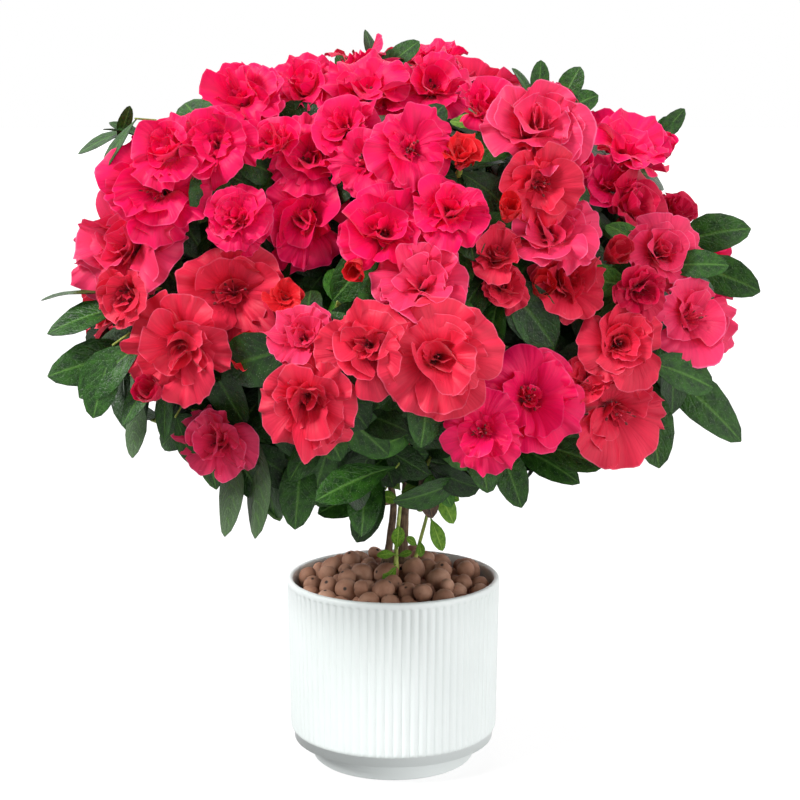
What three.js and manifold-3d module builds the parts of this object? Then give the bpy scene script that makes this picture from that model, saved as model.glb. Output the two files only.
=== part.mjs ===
// Potted azalea shrub: a ribbed ceramic pot, its clay pebble fill, two woody stems and two young
// shoots, boughs, and the crown as separate masses of foliage and blossom.
// Millimetres, +Z up. The origin is the centre of the pot's flat underside, -Y is the front.

import * as THREE from 'three';
import { mergeVertices } from 'three/addons/utils/BufferGeometryUtils.js';
import Module from 'manifold-3d';

const wasm = await Module();
wasm.setup();

// ---- driving dimensions -------------------------------------------------------------------------

const GAP = 0.3; // clearance between pieces that touch
const TINY = 0.01; // slack when a height or radius is compared

const POT = {
  height: 105,
  rimRadius: 60, // outside, at the smooth band under the lip
  lowerRadius: 58.7, // outside, just above the rounded lower edge
  footRadius: 45.5,
  footHeight: 16.5,
  wall: 3.4,
  floor: 5,
  ribs: 80,
  ribDepth: 0.8,
  bandHeight: 4.5, // smooth band between the ribs and the lip
  edge: 2.6, // rounding of the lower edge
  hollowSides: 36,
};

const FILL = {
  rimHeight: 97, // pebble surface at the pot's wall
  moundHeight: 109, // pebble surface at the stems
  fall: 1.6, // above 1 the mound falls off faster near the wall
  flatRadius: 15, // level patch that the stems stand on
  bump: 1.7, // unevenness of the pebble surface
  facetSlack: 0.25, // the pot's hollow is a many-sided shape, a little narrower at its flats
  rings: 4,
  segments: 28,
};

const GROUND = FILL.moundHeight + GAP; // the flat cut of every stem

// Each stem is a path from its cut to its tip, with the radius above its flare and at its tip.
const STEMS = [
  {
    name: 'stem_left', flare: 3.6, radius: 2.3, tip: 1.7, colour: 0x6b4732, sides: 6,
    path: [[-4, 4, GROUND], [-1.5, 3.6, 128], [0, 2.6, 148], [-7, -1, 174]],
  },
  {
    name: 'stem_right', flare: 4.2, radius: 2.7, tip: 2.0, colour: 0x6b4732, sides: 6,
    path: [[5.4, 10.5, GROUND], [6.2, 11, 130], [7, 10, 150], [9, 5, 178]],
  },
  {
    name: 'shoot_front', flare: 1.7, radius: 1.25, tip: 1.0, colour: 0x9aa648, sides: 6,
    path: [[1.6, -5.5, GROUND], [1.8, -6.5, 124], [3.2, -8, 140], [4.5, -10, 153]],
  },
  {
    name: 'shoot_right', flare: 1.5, radius: 1.1, tip: 0.9, colour: 0xa8b45c, sides: 6,
    path: [[11.2, 1.5, GROUND], [15, 0, 124], [19, -2, 140], [22, -5, 154]],
  },
];

const STEM_STEPS = 7;
const FLARE_HEIGHT = 9; // the stems widen over this height above their cut
const LEVELLED = 0.9; // points this close to the ground belong to the cut

// The crown is rings of masses about the axis. ring is the radius of the ring of their centres,
// turn the angle of the first from the front in degrees, reach the half-size outwards, across and
// upwards, start the height where their boughs fork off, rise the share of the climb that a bough
// makes on its first half, and detail how finely the solids are faceted.
const TIERS = [
  {
    name: 'skirt', count: 6, turn: 30, ring: 70, height: 182,
    reach: [50, 48, 27], start: 146, rise: 0.1, detail: 2,
  },
  {
    name: 'middle', count: 7, turn: 0, ring: 128, height: 250,
    reach: [62, 66, 58], start: 160, rise: 0.66, detail: 3,
  },
  {
    name: 'upper', count: 5, turn: 18, ring: 107, height: 316,
    reach: [64, 70, 58], start: 168, rise: 0.3, detail: 3,
  },
  {
    name: 'top', count: 1, turn: 0, ring: 0, height: 342,
    reach: [94, 94, 63], start: 176, rise: 0.3, detail: 3,
  },
];

// Where a mass stands further out, lower or higher than its ring: [outwards, upwards] in mm.
const SHIFTS = {
  middle_left: [8, -2],
  middle_right: [16, -6],
  upper_right: [-12, 0],
  upper_front_left: [4, 0],
  upper_back_left: [6, 0],
  skirt_front_left: [14, -4],
  skirt_right: [20, 4],
};

const MASS = {
  unevenness: 0.12,
  entry: 0.56, // a bough ends at this share of the mass's half-size from its centre
};

const PASSING_POINTS = 16; // points along a bough that a mass keeps clear of

const BOUGH = {
  radius: 2.2,
  tip: 1.3,
  sides: 5,
  steps: 3,
  spread: 0.42, // share of the way outwards that a bough makes on its first half
  leaderStart: 0.98, // share of the right stem where the topmost bough goes on from it
};

const COLOURS = { pot: 0xf1f2f0, pebbles: 0x7a5546, foliage: 0x2c5433, blossom: 0xd0203f };

// ---- helpers ------------------------------------------------------------------------------------

function piece(name, geometry, colour, roughness) {
  const material = new THREE.MeshStandardMaterial({ color: colour, roughness, metalness: 0 });
  const mesh = new THREE.Mesh(geometry, material);
  mesh.name = name;
  return mesh;
}

function welded(geometry) {
  geometry.deleteAttribute('normal');
  geometry.deleteAttribute('uv');
  return mergeVertices(geometry, 1e-4);
}

// Welded, and without the flat triangles that a revolved profile leaves on the axis.
function tidy(geometry) {
  const whole = welded(geometry);
  const index = whole.getIndex().array;
  const kept = [];
  for (let i = 0; i < index.length; i += 3) {
    const [a, b, c] = [index[i], index[i + 1], index[i + 2]];
    if (a !== b && b !== c && c !== a) {
      kept.push(a, b, c);
    }
  }
  whole.setIndex(kept);
  return whole;
}

function moveVertices(geometry, place) {
  const positions = geometry.getAttribute('position');
  const point = new THREE.Vector3();
  for (let i = 0; i < positions.count; i += 1) {
    point.fromBufferAttribute(positions, i);
    place(point);
    positions.setXYZ(i, point.x, point.y, point.z);
  }
  positions.needsUpdate = true;
  return geometry;
}

// A smooth, repeatable unevenness between about -1 and 1 for a direction and a seed.
function unevenness(direction, seed) {
  const { x, y, z } = direction;
  const wave = (along, phase) => Math.sin(along + phase * seed);
  const broad = wave(2.3 * x, 1.7) + wave(2.9 * y, 2.3) + wave(2.6 * z, 3.1);
  const fine = wave(6.1 * x - 4.3 * y, 0.9) + wave(5.7 * y + 4.9 * z, 1.9);
  return broad / 3 + fine / 4;
}

function toSolid(geometry) {
  const vertProperties = new Float32Array(geometry.getAttribute('position').array);
  const triVerts = new Uint32Array(geometry.getIndex().array);
  return new wasm.Manifold(new wasm.Mesh({ numProp: 3, vertProperties, triVerts }));
}

function toGeometry(solid) {
  const { vertProperties, triVerts } = solid.getMesh();
  const geometry = new THREE.BufferGeometry();
  geometry.setAttribute('position', new THREE.BufferAttribute(new Float32Array(vertProperties), 3));
  geometry.setIndex(new THREE.BufferAttribute(new Uint32Array(triVerts), 1));
  return geometry;
}

// ---- pot and fill -------------------------------------------------------------------------------

function revolve(profile, segments) {
  const points = profile.map(([radius, height]) => new THREE.Vector2(radius, height));
  return new THREE.LatheGeometry(points, segments).rotateX(Math.PI / 2);
}

// The outer shape is solid to the lip, two facets to a rib, and the hollow is cut out of it.
function makePot() {
  const { height, rimRadius, lowerRadius, footRadius, footHeight, wall, floor, edge } = POT;
  const ribTop = height - POT.bandHeight;
  const ribBottom = footHeight + edge;
  const outside = [
    [0, 0],
    [footRadius, 0],
    [footRadius, footHeight],
    [lowerRadius - edge, footHeight],
    [lowerRadius, ribBottom],
    [rimRadius, ribTop],
    [rimRadius, height],
    [0, height],
  ];
  const above = 5;
  const hollow = [
    [0, floor],
    [footRadius - wall, floor],
    [footRadius - wall, footHeight + wall],
    [lowerRadius - wall, footHeight + wall],
    [rimRadius - wall, height],
    [rimRadius - wall, height + above],
    [0, height + above],
  ];
  const body = revolve(outside, POT.ribs * 2);
  const slot = Math.PI / POT.ribs;
  moveVertices(body, (point) => {
    const radius = Math.hypot(point.x, point.y);
    const ribbed = point.z > ribBottom - TINY && point.z < ribTop + TINY && radius > lowerRadius - TINY;
    const groove = Math.round(Math.atan2(point.y, point.x) / slot) % 2 !== 0;
    if (ribbed && groove) {
      const share = 1 - POT.ribDepth / radius;
      point.x *= share;
      point.y *= share;
    }
  });
  const cut = toSolid(tidy(body)).subtract(toSolid(tidy(revolve(hollow, POT.hollowSides))));
  return piece('pot', toGeometry(cut), COLOURS.pot, 0.5);
}

function makeFill() {
  const { footRadius, footHeight, wall, floor, height, rimRadius, lowerRadius } = POT;
  const bottom = footHeight + wall + GAP;
  const slope = (rimRadius - lowerRadius) / (height - bottom);
  const clearance = wall + GAP + FILL.facetSlack;
  const wallRadius = (z) => lowerRadius - clearance + slope * (z - bottom);
  const edgeRadius = wallRadius(FILL.rimHeight);
  const profile = [
    [0, floor + GAP],
    [footRadius - clearance, floor + GAP],
    [footRadius - clearance, bottom],
    [wallRadius(bottom), bottom],
    [edgeRadius, FILL.rimHeight],
  ];
  const mound = (radius) => {
    const share = Math.max(0, (radius - FILL.flatRadius) / (edgeRadius - FILL.flatRadius));
    return FILL.moundHeight - (FILL.moundHeight - FILL.rimHeight) * share ** FILL.fall;
  };
  for (let ring = 1; ring <= FILL.rings; ring += 1) {
    const radius = edgeRadius + ((FILL.flatRadius - edgeRadius) * ring) / FILL.rings;
    profile.push([radius, mound(radius)]);
  }
  profile.push([0, FILL.moundHeight]);
  const geometry = revolve(profile, FILL.segments);
  moveVertices(geometry, (point) => {
    const radius = Math.hypot(point.x, point.y);
    const onTop = point.z > FILL.rimHeight + TINY && radius > FILL.flatRadius + TINY;
    if (onTop) {
      point.z += FILL.bump * Math.sin(0.55 * point.x + 1) * Math.sin(0.6 * point.y + 2);
    }
  });
  return piece('pebble_fill', geometry, COLOURS.pebbles, 0.9);
}

// ---- stems and boughs ---------------------------------------------------------------------------

// A closed tapering limb: a cylinder bent along a curve, with radius(share) along its length. grow
// makes it that much fatter and longer at its tip, to cut its neighbours clear of it.
function limb(curve, radius, sides, steps, grow) {
  const geometry = welded(new THREE.CylinderGeometry(1, 1, 1, sides, steps));
  const frames = curve.computeFrenetFrames(steps);
  return moveVertices(geometry, (point) => {
    const share = point.y + 0.5;
    const step = Math.round(share * steps);
    const size = radius(share) + grow;
    const across = frames.normals[step].clone().multiplyScalar(point.z * size);
    const aside = frames.binormals[step].clone().multiplyScalar(point.x * size);
    const beyond = frames.tangents[step].clone().multiplyScalar(step === steps ? grow : 0);
    point.copy(curve.getPointAt(share)).add(across).add(aside).add(beyond);
  });
}

function stemCurve(stem) {
  return new THREE.CatmullRomCurve3(stem.path.map((p) => new THREE.Vector3(...p)));
}

function stemGeometry(stem, grow) {
  const curve = stemCurve(stem);
  const length = curve.getLength();
  const radius = (share) => {
    const flared = Math.max(0, 1 - (share * length) / FLARE_HEIGHT) ** 1.5;
    const straight = stem.radius + (stem.tip - stem.radius) * share;
    return straight + (stem.flare - straight) * flared;
  };
  const geometry = limb(curve, radius, stem.sides, STEM_STEPS, grow);
  // the lowest ring is levelled, so that the cut is flat and stands on the ground
  return moveVertices(geometry, (point) => {
    if (point.z < GROUND + LEVELLED) {
      point.z = GROUND;
    }
  });
}

const COMPASS = ['right', 'back_right', 'back', 'back_left', 'left', 'front_left', 'front', 'front_right'];

function compassName(angle) {
  const step = Math.round(angle / (Math.PI / 4));
  return COMPASS[((step % 8) + 8) % 8];
}

// The crown's plan: one entry for each mass, with its centre, its axes and the bough that feeds it.
function planCrown() {
  const plan = [];
  for (const tier of TIERS) {
    for (let i = 0; i < tier.count; i += 1) {
      const angle = -Math.PI / 2 + THREE.MathUtils.degToRad(tier.turn) + (2 * Math.PI * i) / tier.count;
      const side = tier.count > 1 ? `_${compassName(angle)}` : '';
      const name = `${tier.name}${side}`;
      const [outwards, upwards] = SHIFTS[name] ?? [0, 0];
      const out = new THREE.Vector3(Math.cos(angle), Math.sin(angle), 0);
      const centre = out.clone().multiplyScalar(tier.ring + outwards);
      centre.z = tier.height + upwards;
      plan.push({ name, tier, out, centre, seed: plan.length + 1 });
    }
  }
  return plan;
}

// The bough of a mass runs from a stem to the mass: it leaves the stem outwards and bends up to it.
function planBough(mass, curves) {
  const stem = mass.out.x < 0 ? curves.stem_left : curves.stem_right;
  const top = stem.getPointAt(1).z;
  const share = Math.min(1, (mass.tier.start - GROUND) / (top - GROUND));
  const start = stem.getPointAt(mass.tier.ring === 0 ? BOUGH.leaderStart : share);
  const towards = mass.centre.clone().sub(start);
  const bend = start.clone();
  bend.x += towards.x * BOUGH.spread;
  bend.y += towards.y * BOUGH.spread;
  bend.z += towards.z * mass.tier.rise;
  const inwards = bend.clone().sub(mass.centre).normalize();
  const entry = MASS.entry * Math.min(...mass.tier.reach);
  const end = mass.centre.clone().addScaledVector(inwards, entry);
  return { start, bend, end, inwards, entry };
}

function boughCurve(plan) {
  return new THREE.QuadraticBezierCurve3(plan.start, plan.bend, plan.end);
}

function boughGeometry(plan, grow) {
  const curve = boughCurve(plan);
  const radius = (share) => BOUGH.radius + (BOUGH.tip - BOUGH.radius) * share;
  return limb(curve, radius, BOUGH.sides, BOUGH.steps, grow);
}

// ---- masses -------------------------------------------------------------------------------------

// A mass is star-shaped about its centre: an uneven ellipsoid, cut flat where its bough enters and
// where it meets each neighbour, so that no two masses overlap.
function massGeometry(mass, cuts) {
  const [outwards, across, upwards] = mass.tier.reach;
  const aside = new THREE.Vector3(-mass.out.y, mass.out.x, 0);
  const geometry = welded(new THREE.IcosahedronGeometry(1, mass.tier.detail));
  return moveVertices(geometry, (point) => {
    const direction = point.clone().normalize();
    const scaled = new THREE.Vector3(direction.dot(mass.out) / outwards, direction.dot(aside) / across,
      direction.z / upwards);
    let distance = (1 + MASS.unevenness * unevenness(direction, mass.seed)) / scaled.length();
    for (const cut of cuts) {
      const facing = direction.dot(cut.normal);
      if (facing > 1e-3) {
        distance = Math.min(distance, cut.distance / facing);
      }
    }
    point.copy(mass.centre).addScaledVector(direction, distance);
  });
}

function cutsBetween(mass, others) {
  const size = (m) => (m.tier.reach[0] + m.tier.reach[1] + m.tier.reach[2]) / 3;
  return others.filter((other) => other !== mass).map((other) => {
    const normal = other.centre.clone().sub(mass.centre);
    const apart = normal.length();
    normal.normalize();
    const distance = apart / 2 + (size(mass) ** 2 - size(other) ** 2) / (2 * apart) - GAP / 2;
    return { normal, distance };
  });
}

// A mass also keeps clear of each bough that passes it on the way to another mass.
function cutsForPassing(mass, boughs) {
  const clearance = BOUGH.radius + 2 * GAP;
  const cuts = [];
  for (const plan of boughs) {
    for (const point of boughCurve(plan).getSpacedPoints(PASSING_POINTS)) {
      const normal = point.sub(mass.centre);
      const distance = normal.length() - clearance;
      cuts.push({ normal: normal.normalize(), distance });
    }
  }
  return cuts;
}

// ---- assembly -----------------------------------------------------------------------------------

const group = new THREE.Group();
group.add(makePot());
group.add(makeFill());

const curves = {};
const standing = []; // limbs already placed, each grown by the clearance
for (const stem of STEMS) {
  curves[stem.name] = stemCurve(stem);
  group.add(piece(stem.name, stemGeometry(stem, 0), stem.colour, 0.85));
  standing.push(toSolid(stemGeometry(stem, GAP)));
}

const crown = planCrown();
for (const mass of crown) {
  const plan = planBough(mass, curves);
  let solid = toSolid(boughGeometry(plan, 0));
  for (const other of standing) {
    solid = solid.subtract(other);
  }
  const whole = solid.decompose().sort((a, b) => b.volume() - a.volume())[0];
  group.add(piece(`bough_${mass.name}`, toGeometry(whole), STEMS[0].colour, 0.85));
  standing.push(toSolid(boughGeometry(plan, GAP)));
  mass.bough = plan;
}

for (const mass of crown) {
  const entryCut = { normal: mass.bough.inwards, distance: mass.bough.entry - GAP };
  const passing = crown.filter((other) => other !== mass).map((other) => other.bough);
  const cuts = [entryCut, ...cutsBetween(mass, crown), ...cutsForPassing(mass, passing)];
  const colour = mass.tier.name === 'skirt' ? COLOURS.foliage : COLOURS.blossom;
  group.add(piece(`mass_${mass.name}`, massGeometry(mass, cuts), colour, 0.7));
}

export default group;
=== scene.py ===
# %% [markdown]
# # A potted azalea, grown around its imported frame
#
# The frame holds the plant as plain solids: a ribbed pot and what fills it, two woody stems with two
# young shoots, nineteen boughs, and one uneven mass for each part of the crown. This lesson puts the real
# surfaces in their places: a glazed pot, fired clay pebbles, bark, branching twigs, leathery leaves and
# ruffled double flowers. The frame is loaded first and is never moved. Nothing made here may leave it by
# more than a little.

import math

import bmesh
import bpy
import numpy as np
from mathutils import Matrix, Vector
from mathutils.bvhtree import BVHTree


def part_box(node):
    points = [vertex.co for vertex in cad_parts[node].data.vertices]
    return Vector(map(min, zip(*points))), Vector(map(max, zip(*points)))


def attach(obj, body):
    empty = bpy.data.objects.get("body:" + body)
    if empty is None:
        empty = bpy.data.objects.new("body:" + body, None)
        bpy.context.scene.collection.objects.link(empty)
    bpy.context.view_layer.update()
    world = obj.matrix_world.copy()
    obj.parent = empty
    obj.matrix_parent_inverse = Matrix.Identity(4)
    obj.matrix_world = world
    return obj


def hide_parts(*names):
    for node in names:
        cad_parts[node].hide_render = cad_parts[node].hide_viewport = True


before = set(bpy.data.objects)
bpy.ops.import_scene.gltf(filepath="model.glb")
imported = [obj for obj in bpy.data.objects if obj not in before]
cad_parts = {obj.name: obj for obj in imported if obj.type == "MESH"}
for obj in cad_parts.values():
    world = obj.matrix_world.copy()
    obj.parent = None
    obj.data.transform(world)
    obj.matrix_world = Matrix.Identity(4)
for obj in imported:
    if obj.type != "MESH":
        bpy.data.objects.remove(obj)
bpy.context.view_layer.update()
MM = 0.001
FULL_TURN = 2 * math.pi
SEED = 7


def placed(name, data):
    """A new object of the scene with this data."""
    made = bpy.data.objects.new(name, data)
    bpy.context.scene.collection.objects.link(made)
    return made


# %% [markdown]
# ## The camera and the light
#
# The plant is seen a little from above, from about a metre away, with a longish lens that keeps the pot's
# sides nearly upright. Small lamps would fade with distance and throw hard shadows. So every lamp is a
# sun with a wide angle: it gives the soft shadows of a large studio lamp and lights the floor evenly. The
# key light is high on the left. One as wide as half the sky stands for the bright room, two more fill in
# from the low right and from behind, and a weak one from below brightens the undersides. The world is
# white to the camera and in reflections only, so the dark gaps between leaves stay dark.

# %% The camera
CAMERA_PLACE = (3.8, -975.5, 366.6)
CAMERA_DOWN = 9.39
camera_data = bpy.data.cameras.new("camera")
camera_data.lens = 79.8
camera_data.sensor_width = 36
camera_data.clip_end = 100
camera = placed("camera", camera_data)
camera.location = [place * MM for place in CAMERA_PLACE]
camera.rotation_euler = (math.radians(90 - CAMERA_DOWN), 0, 0)
bpy.context.scene.camera = camera

# %% The lamps and the world
# Where each lamp's light comes from, its strength, and its angle in degrees, which sets how soft its
# shadows are.
LAMPS = {
    "key": ((-0.95, -0.52, 0.95), 3.85, 22),
    "room": ((0, -0.3, 0.9), 0.9, 170),
    "front_fill": ((0.76, -0.72, 0.12), 2.25, 80),
    "back_fill": ((0.35, 0.9, 0.55), 1.3, 120),
    "bounce": ((0.1, -0.5, -0.6), 0.6, 150),
}
for name, (comes_from, strength, angle) in LAMPS.items():
    data = bpy.data.lights.new(name, "SUN")
    data.energy = strength
    data.angle = math.radians(angle)
    placed(name, data).rotation_euler = Vector(comes_from).to_track_quat("Z", "Y").to_euler()
WHITE = (1, 1, 1, 1)
BLACK = (0, 0, 0, 1)
world = bpy.data.worlds.new("room")
bpy.context.scene.world = world
world.use_nodes = True
world.node_tree.nodes["Background"].inputs["Color"].default_value = WHITE
world.cycles_visibility.diffuse = False
bpy.context.scene.view_settings.view_transform = "Standard"
print(len(LAMPS), "lamps")

# %% [markdown]
# ## Helpers for node trees and meshes
#
# A node tree is easier to read when a node is one line that names its kind and its inputs. An input is
# either a plain value or another node's output socket. The same helper serves shaders and Geometry Nodes.
# Meshes are filled from arrays, because the crown has thousands of leaves and petals and a loop over each
# corner would be slow.


# %% One line for each node
def node(tree, kind, inputs=None, **settings):
    """Adds a node, sets its inputs by name or number, and returns it. A socket among them is linked."""
    made = tree.nodes.new(kind)
    for setting, value in settings.items():
        setattr(made, setting, value)
    for key, value in (inputs or {}).items():
        if isinstance(value, bpy.types.NodeSocket):
            tree.links.new(value, made.inputs[key])
        else:
            made.inputs[key].default_value = value
    return made


def calc(tree, operation, *values):
    """A Math node's output."""
    return node(tree, "ShaderNodeMath", dict(enumerate(values)), operation=operation).outputs[0]


def noise(tree, place, scale, detail):
    """A noise between 0 and 1 over a place."""
    return node(tree, "ShaderNodeTexNoise", {"Vector": place, "Scale": scale, "Detail": detail}).outputs[0]


def blend(tree, share, first, second, **settings):
    """A colour between two, by a share from 0 to 1."""
    inputs = {0: share, 6: first, 7: second}
    return node(tree, "ShaderNodeMix", inputs, data_type="RGBA", **settings).outputs[2]


def ramp(tree, factor, stops):
    """A Color Ramp's colour for a list of (place, colour)."""
    made = node(tree, "ShaderNodeValToRGB", {0: factor})
    elements = made.color_ramp.elements
    while len(elements) < len(stops):
        elements.new(0.5)
    for element, (place, shade) in zip(elements, stops):
        element.position = place
        element.color = shade
    return made.outputs["Color"]


def own_place(tree):
    """A surface's place in its object."""
    return node(tree, "ShaderNodeTexCoord").outputs["Object"]


def drawn_up(tree, place, share):
    """A place with its height cut to a share, so that a pattern over it runs upwards."""
    return node(tree, "ShaderNodeVectorMath", {0: place, 1: (1, 1, share)}, operation="MULTIPLY").outputs[0]


def colour(red, green, blue):
    """A colour as a paint shop gives it, 0 to 255, turned into the linear numbers that a shader takes."""
    shares = (red / 255, green / 255, blue / 255)
    linear = [s / 12.92 if s <= 0.04045 else ((s + 0.055) / 1.055) ** 2.4 for s in shares]
    return (*linear, 1)


def finish(name, roughness, **sockets):
    """A material with a Principled shader. Returns the material, its tree and the shader."""
    material = bpy.data.materials.new(name)
    material.use_nodes = True
    tree = material.node_tree
    shader = tree.nodes["Principled BSDF"]
    shader.inputs["Roughness"].default_value = roughness
    for socket, value in sockets.items():
        shader.inputs[socket.replace("_", " ")].default_value = value
    return material, tree, shader


def cover(tree, shader, shade, height, strength, distance):
    """Gives a shader its colour and its roughened surface, from a colour socket and a height socket."""
    tree.links.new(shade, shader.inputs["Base Color"])
    made = node(tree, "ShaderNodeBump", {"Height": height, "Strength": strength, "Distance": distance})
    tree.links.new(made.outputs["Normal"], shader.inputs["Normal"])


print("sRGB mid grey in linear light", round(colour(128, 128, 128)[0], 3))

# %% Meshes from arrays
TILE = "OFBake"


def mesh_piece(name, points, faces, materials, uv=None):
    """An object at the origin whose smooth mesh holds these points and faces, with a map of them if given."""
    mesh = bpy.data.meshes.new(name)
    mesh.vertices.add(len(points))
    mesh.vertices.foreach_set("co", np.asarray(points, np.float32).ravel())
    mesh.loops.add(faces.size)
    mesh.loops.foreach_set("vertex_index", faces.ravel().astype(np.int32))
    mesh.polygons.add(len(faces))
    mesh.polygons.foreach_set("loop_start", np.arange(0, faces.size, faces.shape[1], dtype=np.int32))
    mesh.polygons.foreach_set("use_smooth", np.full(len(faces), True))
    if uv is not None:
        layer = mesh.uv_layers.new(name=TILE)
        layer.data.foreach_set("uv", uv[faces.ravel()].astype(np.float32).ravel())
    for material in materials:
        mesh.materials.append(material)
    mesh.update(calc_edges=True)
    return placed(name, mesh)


def sheet_faces(count, rows, columns):
    """The faces of that many sheets, each a grid of rows by columns of points."""
    first = (np.arange(rows - 1)[:, None] * columns + np.arange(columns - 1)[None, :]).ravel()
    quads = np.stack([first, first + 1, first + columns + 1, first + columns], -1)
    return (quads[None] + (np.arange(count) * rows * columns)[:, None, None]).reshape(-1, 4)


def sheet_map(across, along):
    """The map of one sheet's points, kept a little inside the tile's edges along the sheet."""
    return np.stack(np.broadcast_arrays(across, along * 0.98 + 0.01), -1).reshape(-1, 2)


def unit(vectors):
    """Vectors, one in each row, brought to length one."""
    return vectors / np.maximum(np.linalg.norm(vectors, axis=-1, keepdims=True), 1e-9)


def turned_axes(axis, hint):
    """Three unit vectors for each axis: one across near the hint, one square to both, and the axis."""
    across = unit(hint - (hint * axis).sum(-1, keepdims=True) * axis)
    return np.stack([across, np.cross(axis, across), axis], -2)


print("one sheet of 7 by 13 points has", len(sheet_faces(1, 7, 13)), "faces")


# %% Geometry Nodes trees and their results
def geometry_tree(name, inputs):
    """An empty Geometry Nodes tree with a material input and these: {name: (socket type, value)}."""
    tree = bpy.data.node_groups.new(name, "GeometryNodeTree")
    geometry = "NodeSocketGeometry"
    tree.interface.new_socket("Geometry", in_out="INPUT", socket_type=geometry)
    for label, (kind, value) in inputs.items():
        tree.interface.new_socket(label, in_out="INPUT", socket_type=kind).default_value = value
    tree.interface.new_socket("Material", in_out="INPUT", socket_type="NodeSocketMaterial")
    tree.interface.new_socket("Geometry", in_out="OUTPUT", socket_type=geometry)
    return tree, node(tree, "NodeGroupInput").outputs


def close_tree(tree, geometry):
    """Ends a tree in Realize Instances and Set Material, with the material from the tree's own input."""
    entry = next(n for n in tree.nodes if n.type == "GROUP_INPUT").outputs
    real = node(tree, "GeometryNodeRealizeInstances", {0: geometry}).outputs[0]
    real = node(tree, "GeometryNodeSetShadeSmooth", {"Geometry": real}).outputs[0]
    coated = node(tree, "GeometryNodeSetMaterial", {"Geometry": real, "Material": entry["Material"]})
    node(tree, "NodeGroupOutput", {0: coated.outputs[0]})


def run_tree(piece, tree, values):
    """Runs a tree on a piece with these input values, and leaves the result as the piece's own plain mesh."""
    modifier = piece.modifiers.new("grow", "NODES")
    modifier.node_group = tree
    for item in tree.interface.items_tree:
        if item.in_out == "INPUT" and item.name in values:
            modifier[item.identifier] = values[item.name]
    piece.update_tag()
    seen = piece.evaluated_get(bpy.context.evaluated_depsgraph_get())
    mesh = bpy.data.meshes.new_from_object(seen)
    piece.modifiers.clear()
    piece.data = mesh
    print(piece.name, "has", len(mesh.polygons), "faces")


def set_attribute(piece, name, kind, values):
    """Writes one number or vector for each point of a piece's mesh."""
    attribute = piece.data.attributes.new(name, kind, "POINT")
    field = "vector" if kind == "FLOAT_VECTOR" else "value"
    attribute.data.foreach_set(field, np.asarray(values, np.float32).ravel())


def read(tree, name, kind="FLOAT"):
    """The output of a Named Attribute node."""
    return node(tree, "GeometryNodeInputNamedAttribute", {"Name": name}, data_type=kind).outputs[0]


def moved(tree, geometry, way, amount):
    """Geometry whose points are moved along a direction by an amount."""
    shift = node(tree, "ShaderNodeVectorMath", {0: way, "Scale": amount}, operation="SCALE").outputs[0]
    return node(tree, "GeometryNodeSetPosition", {"Geometry": geometry, "Offset": shift}).outputs[0]


def roughened(tree, geometry, lumps, depth):
    """Geometry whose surface rises and falls with a noise between 0 and 1."""
    rise = calc(tree, "MULTIPLY", calc(tree, "SUBTRACT", lumps, 0.5), depth)
    return moved(tree, geometry, node(tree, "GeometryNodeInputNormal").outputs[0], rise)


print("helpers ready")

# %% [markdown]
# ## The floor
#
# A plain pale floor carries a faint soft shadow under the pot. Like a light table it glows a little,
# which keeps that shadow faint, and it throws no light back up, so the foot of the pot and the inside of
# the crown keep their depth. It casts no shadow either, so the lamp from below passes through it. It is
# part of the stage and not of the plant.

# %% The floor
FLOOR_REACH = 30
FLOOR_GREY = (0.2, 0.2, 0.2, 1)
FLOOR_GLOW = 0.80
floor_mesh = bpy.data.meshes.new("floor")
floor_maker = bmesh.new()
bmesh.ops.create_circle(floor_maker, cap_ends=True, radius=FLOOR_REACH, segments=64)
floor_maker.to_mesh(floor_mesh)
floor_maker.free()
floor_glow = {"Base_Color": FLOOR_GREY, "Emission_Color": WHITE, "Emission_Strength": FLOOR_GLOW}
floor_mesh.materials.append(finish("pale_floor", 0.7, **floor_glow)[0])
floor = placed("floor", floor_mesh)
floor.visible_diffuse = False
floor.visible_shadow = False
print("floor radius", FLOOR_REACH, "m")

# %% [markdown]
# ## The pot
#
# The real pot is slip-cast white ceramic: a slightly flared cylinder on a smaller plain foot, with eighty
# narrow upright ribs between a smooth lip and a rounded lower edge. It could be a cylinder with eighty
# bars stuck on, but the ribs are in the clay itself. So a lathe turns the section, and Geometry Nodes
# then sink the grooves between the ribs into that one wall, as a rule on the angle round the axis. The
# wall's points carry a mark that says how much of the rib they take.

# %% The pot's section, turned on a lathe
_, pot_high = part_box("pot")
POT_HEIGHT = pot_high.z
RIM_RADIUS = pot_high.x
LOWER_RADIUS = RIM_RADIUS - 1.3 * MM
FOOT_RADIUS = 45.5 * MM
FOOT_HEIGHT = 16.5 * MM
WALL = 3.4 * MM
INSIDE_FLOOR = 12 * MM
STRAIGHT_INSIDE = 30 * MM
LIP = WALL / 2
LIP_BAND = 3.6 * MM
LOWER_EDGE = 3.2 * MM
RIBS = 80
RIB_DEPTH = 1.0 * MM
STEPS_TO_A_RIB = 8


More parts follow.
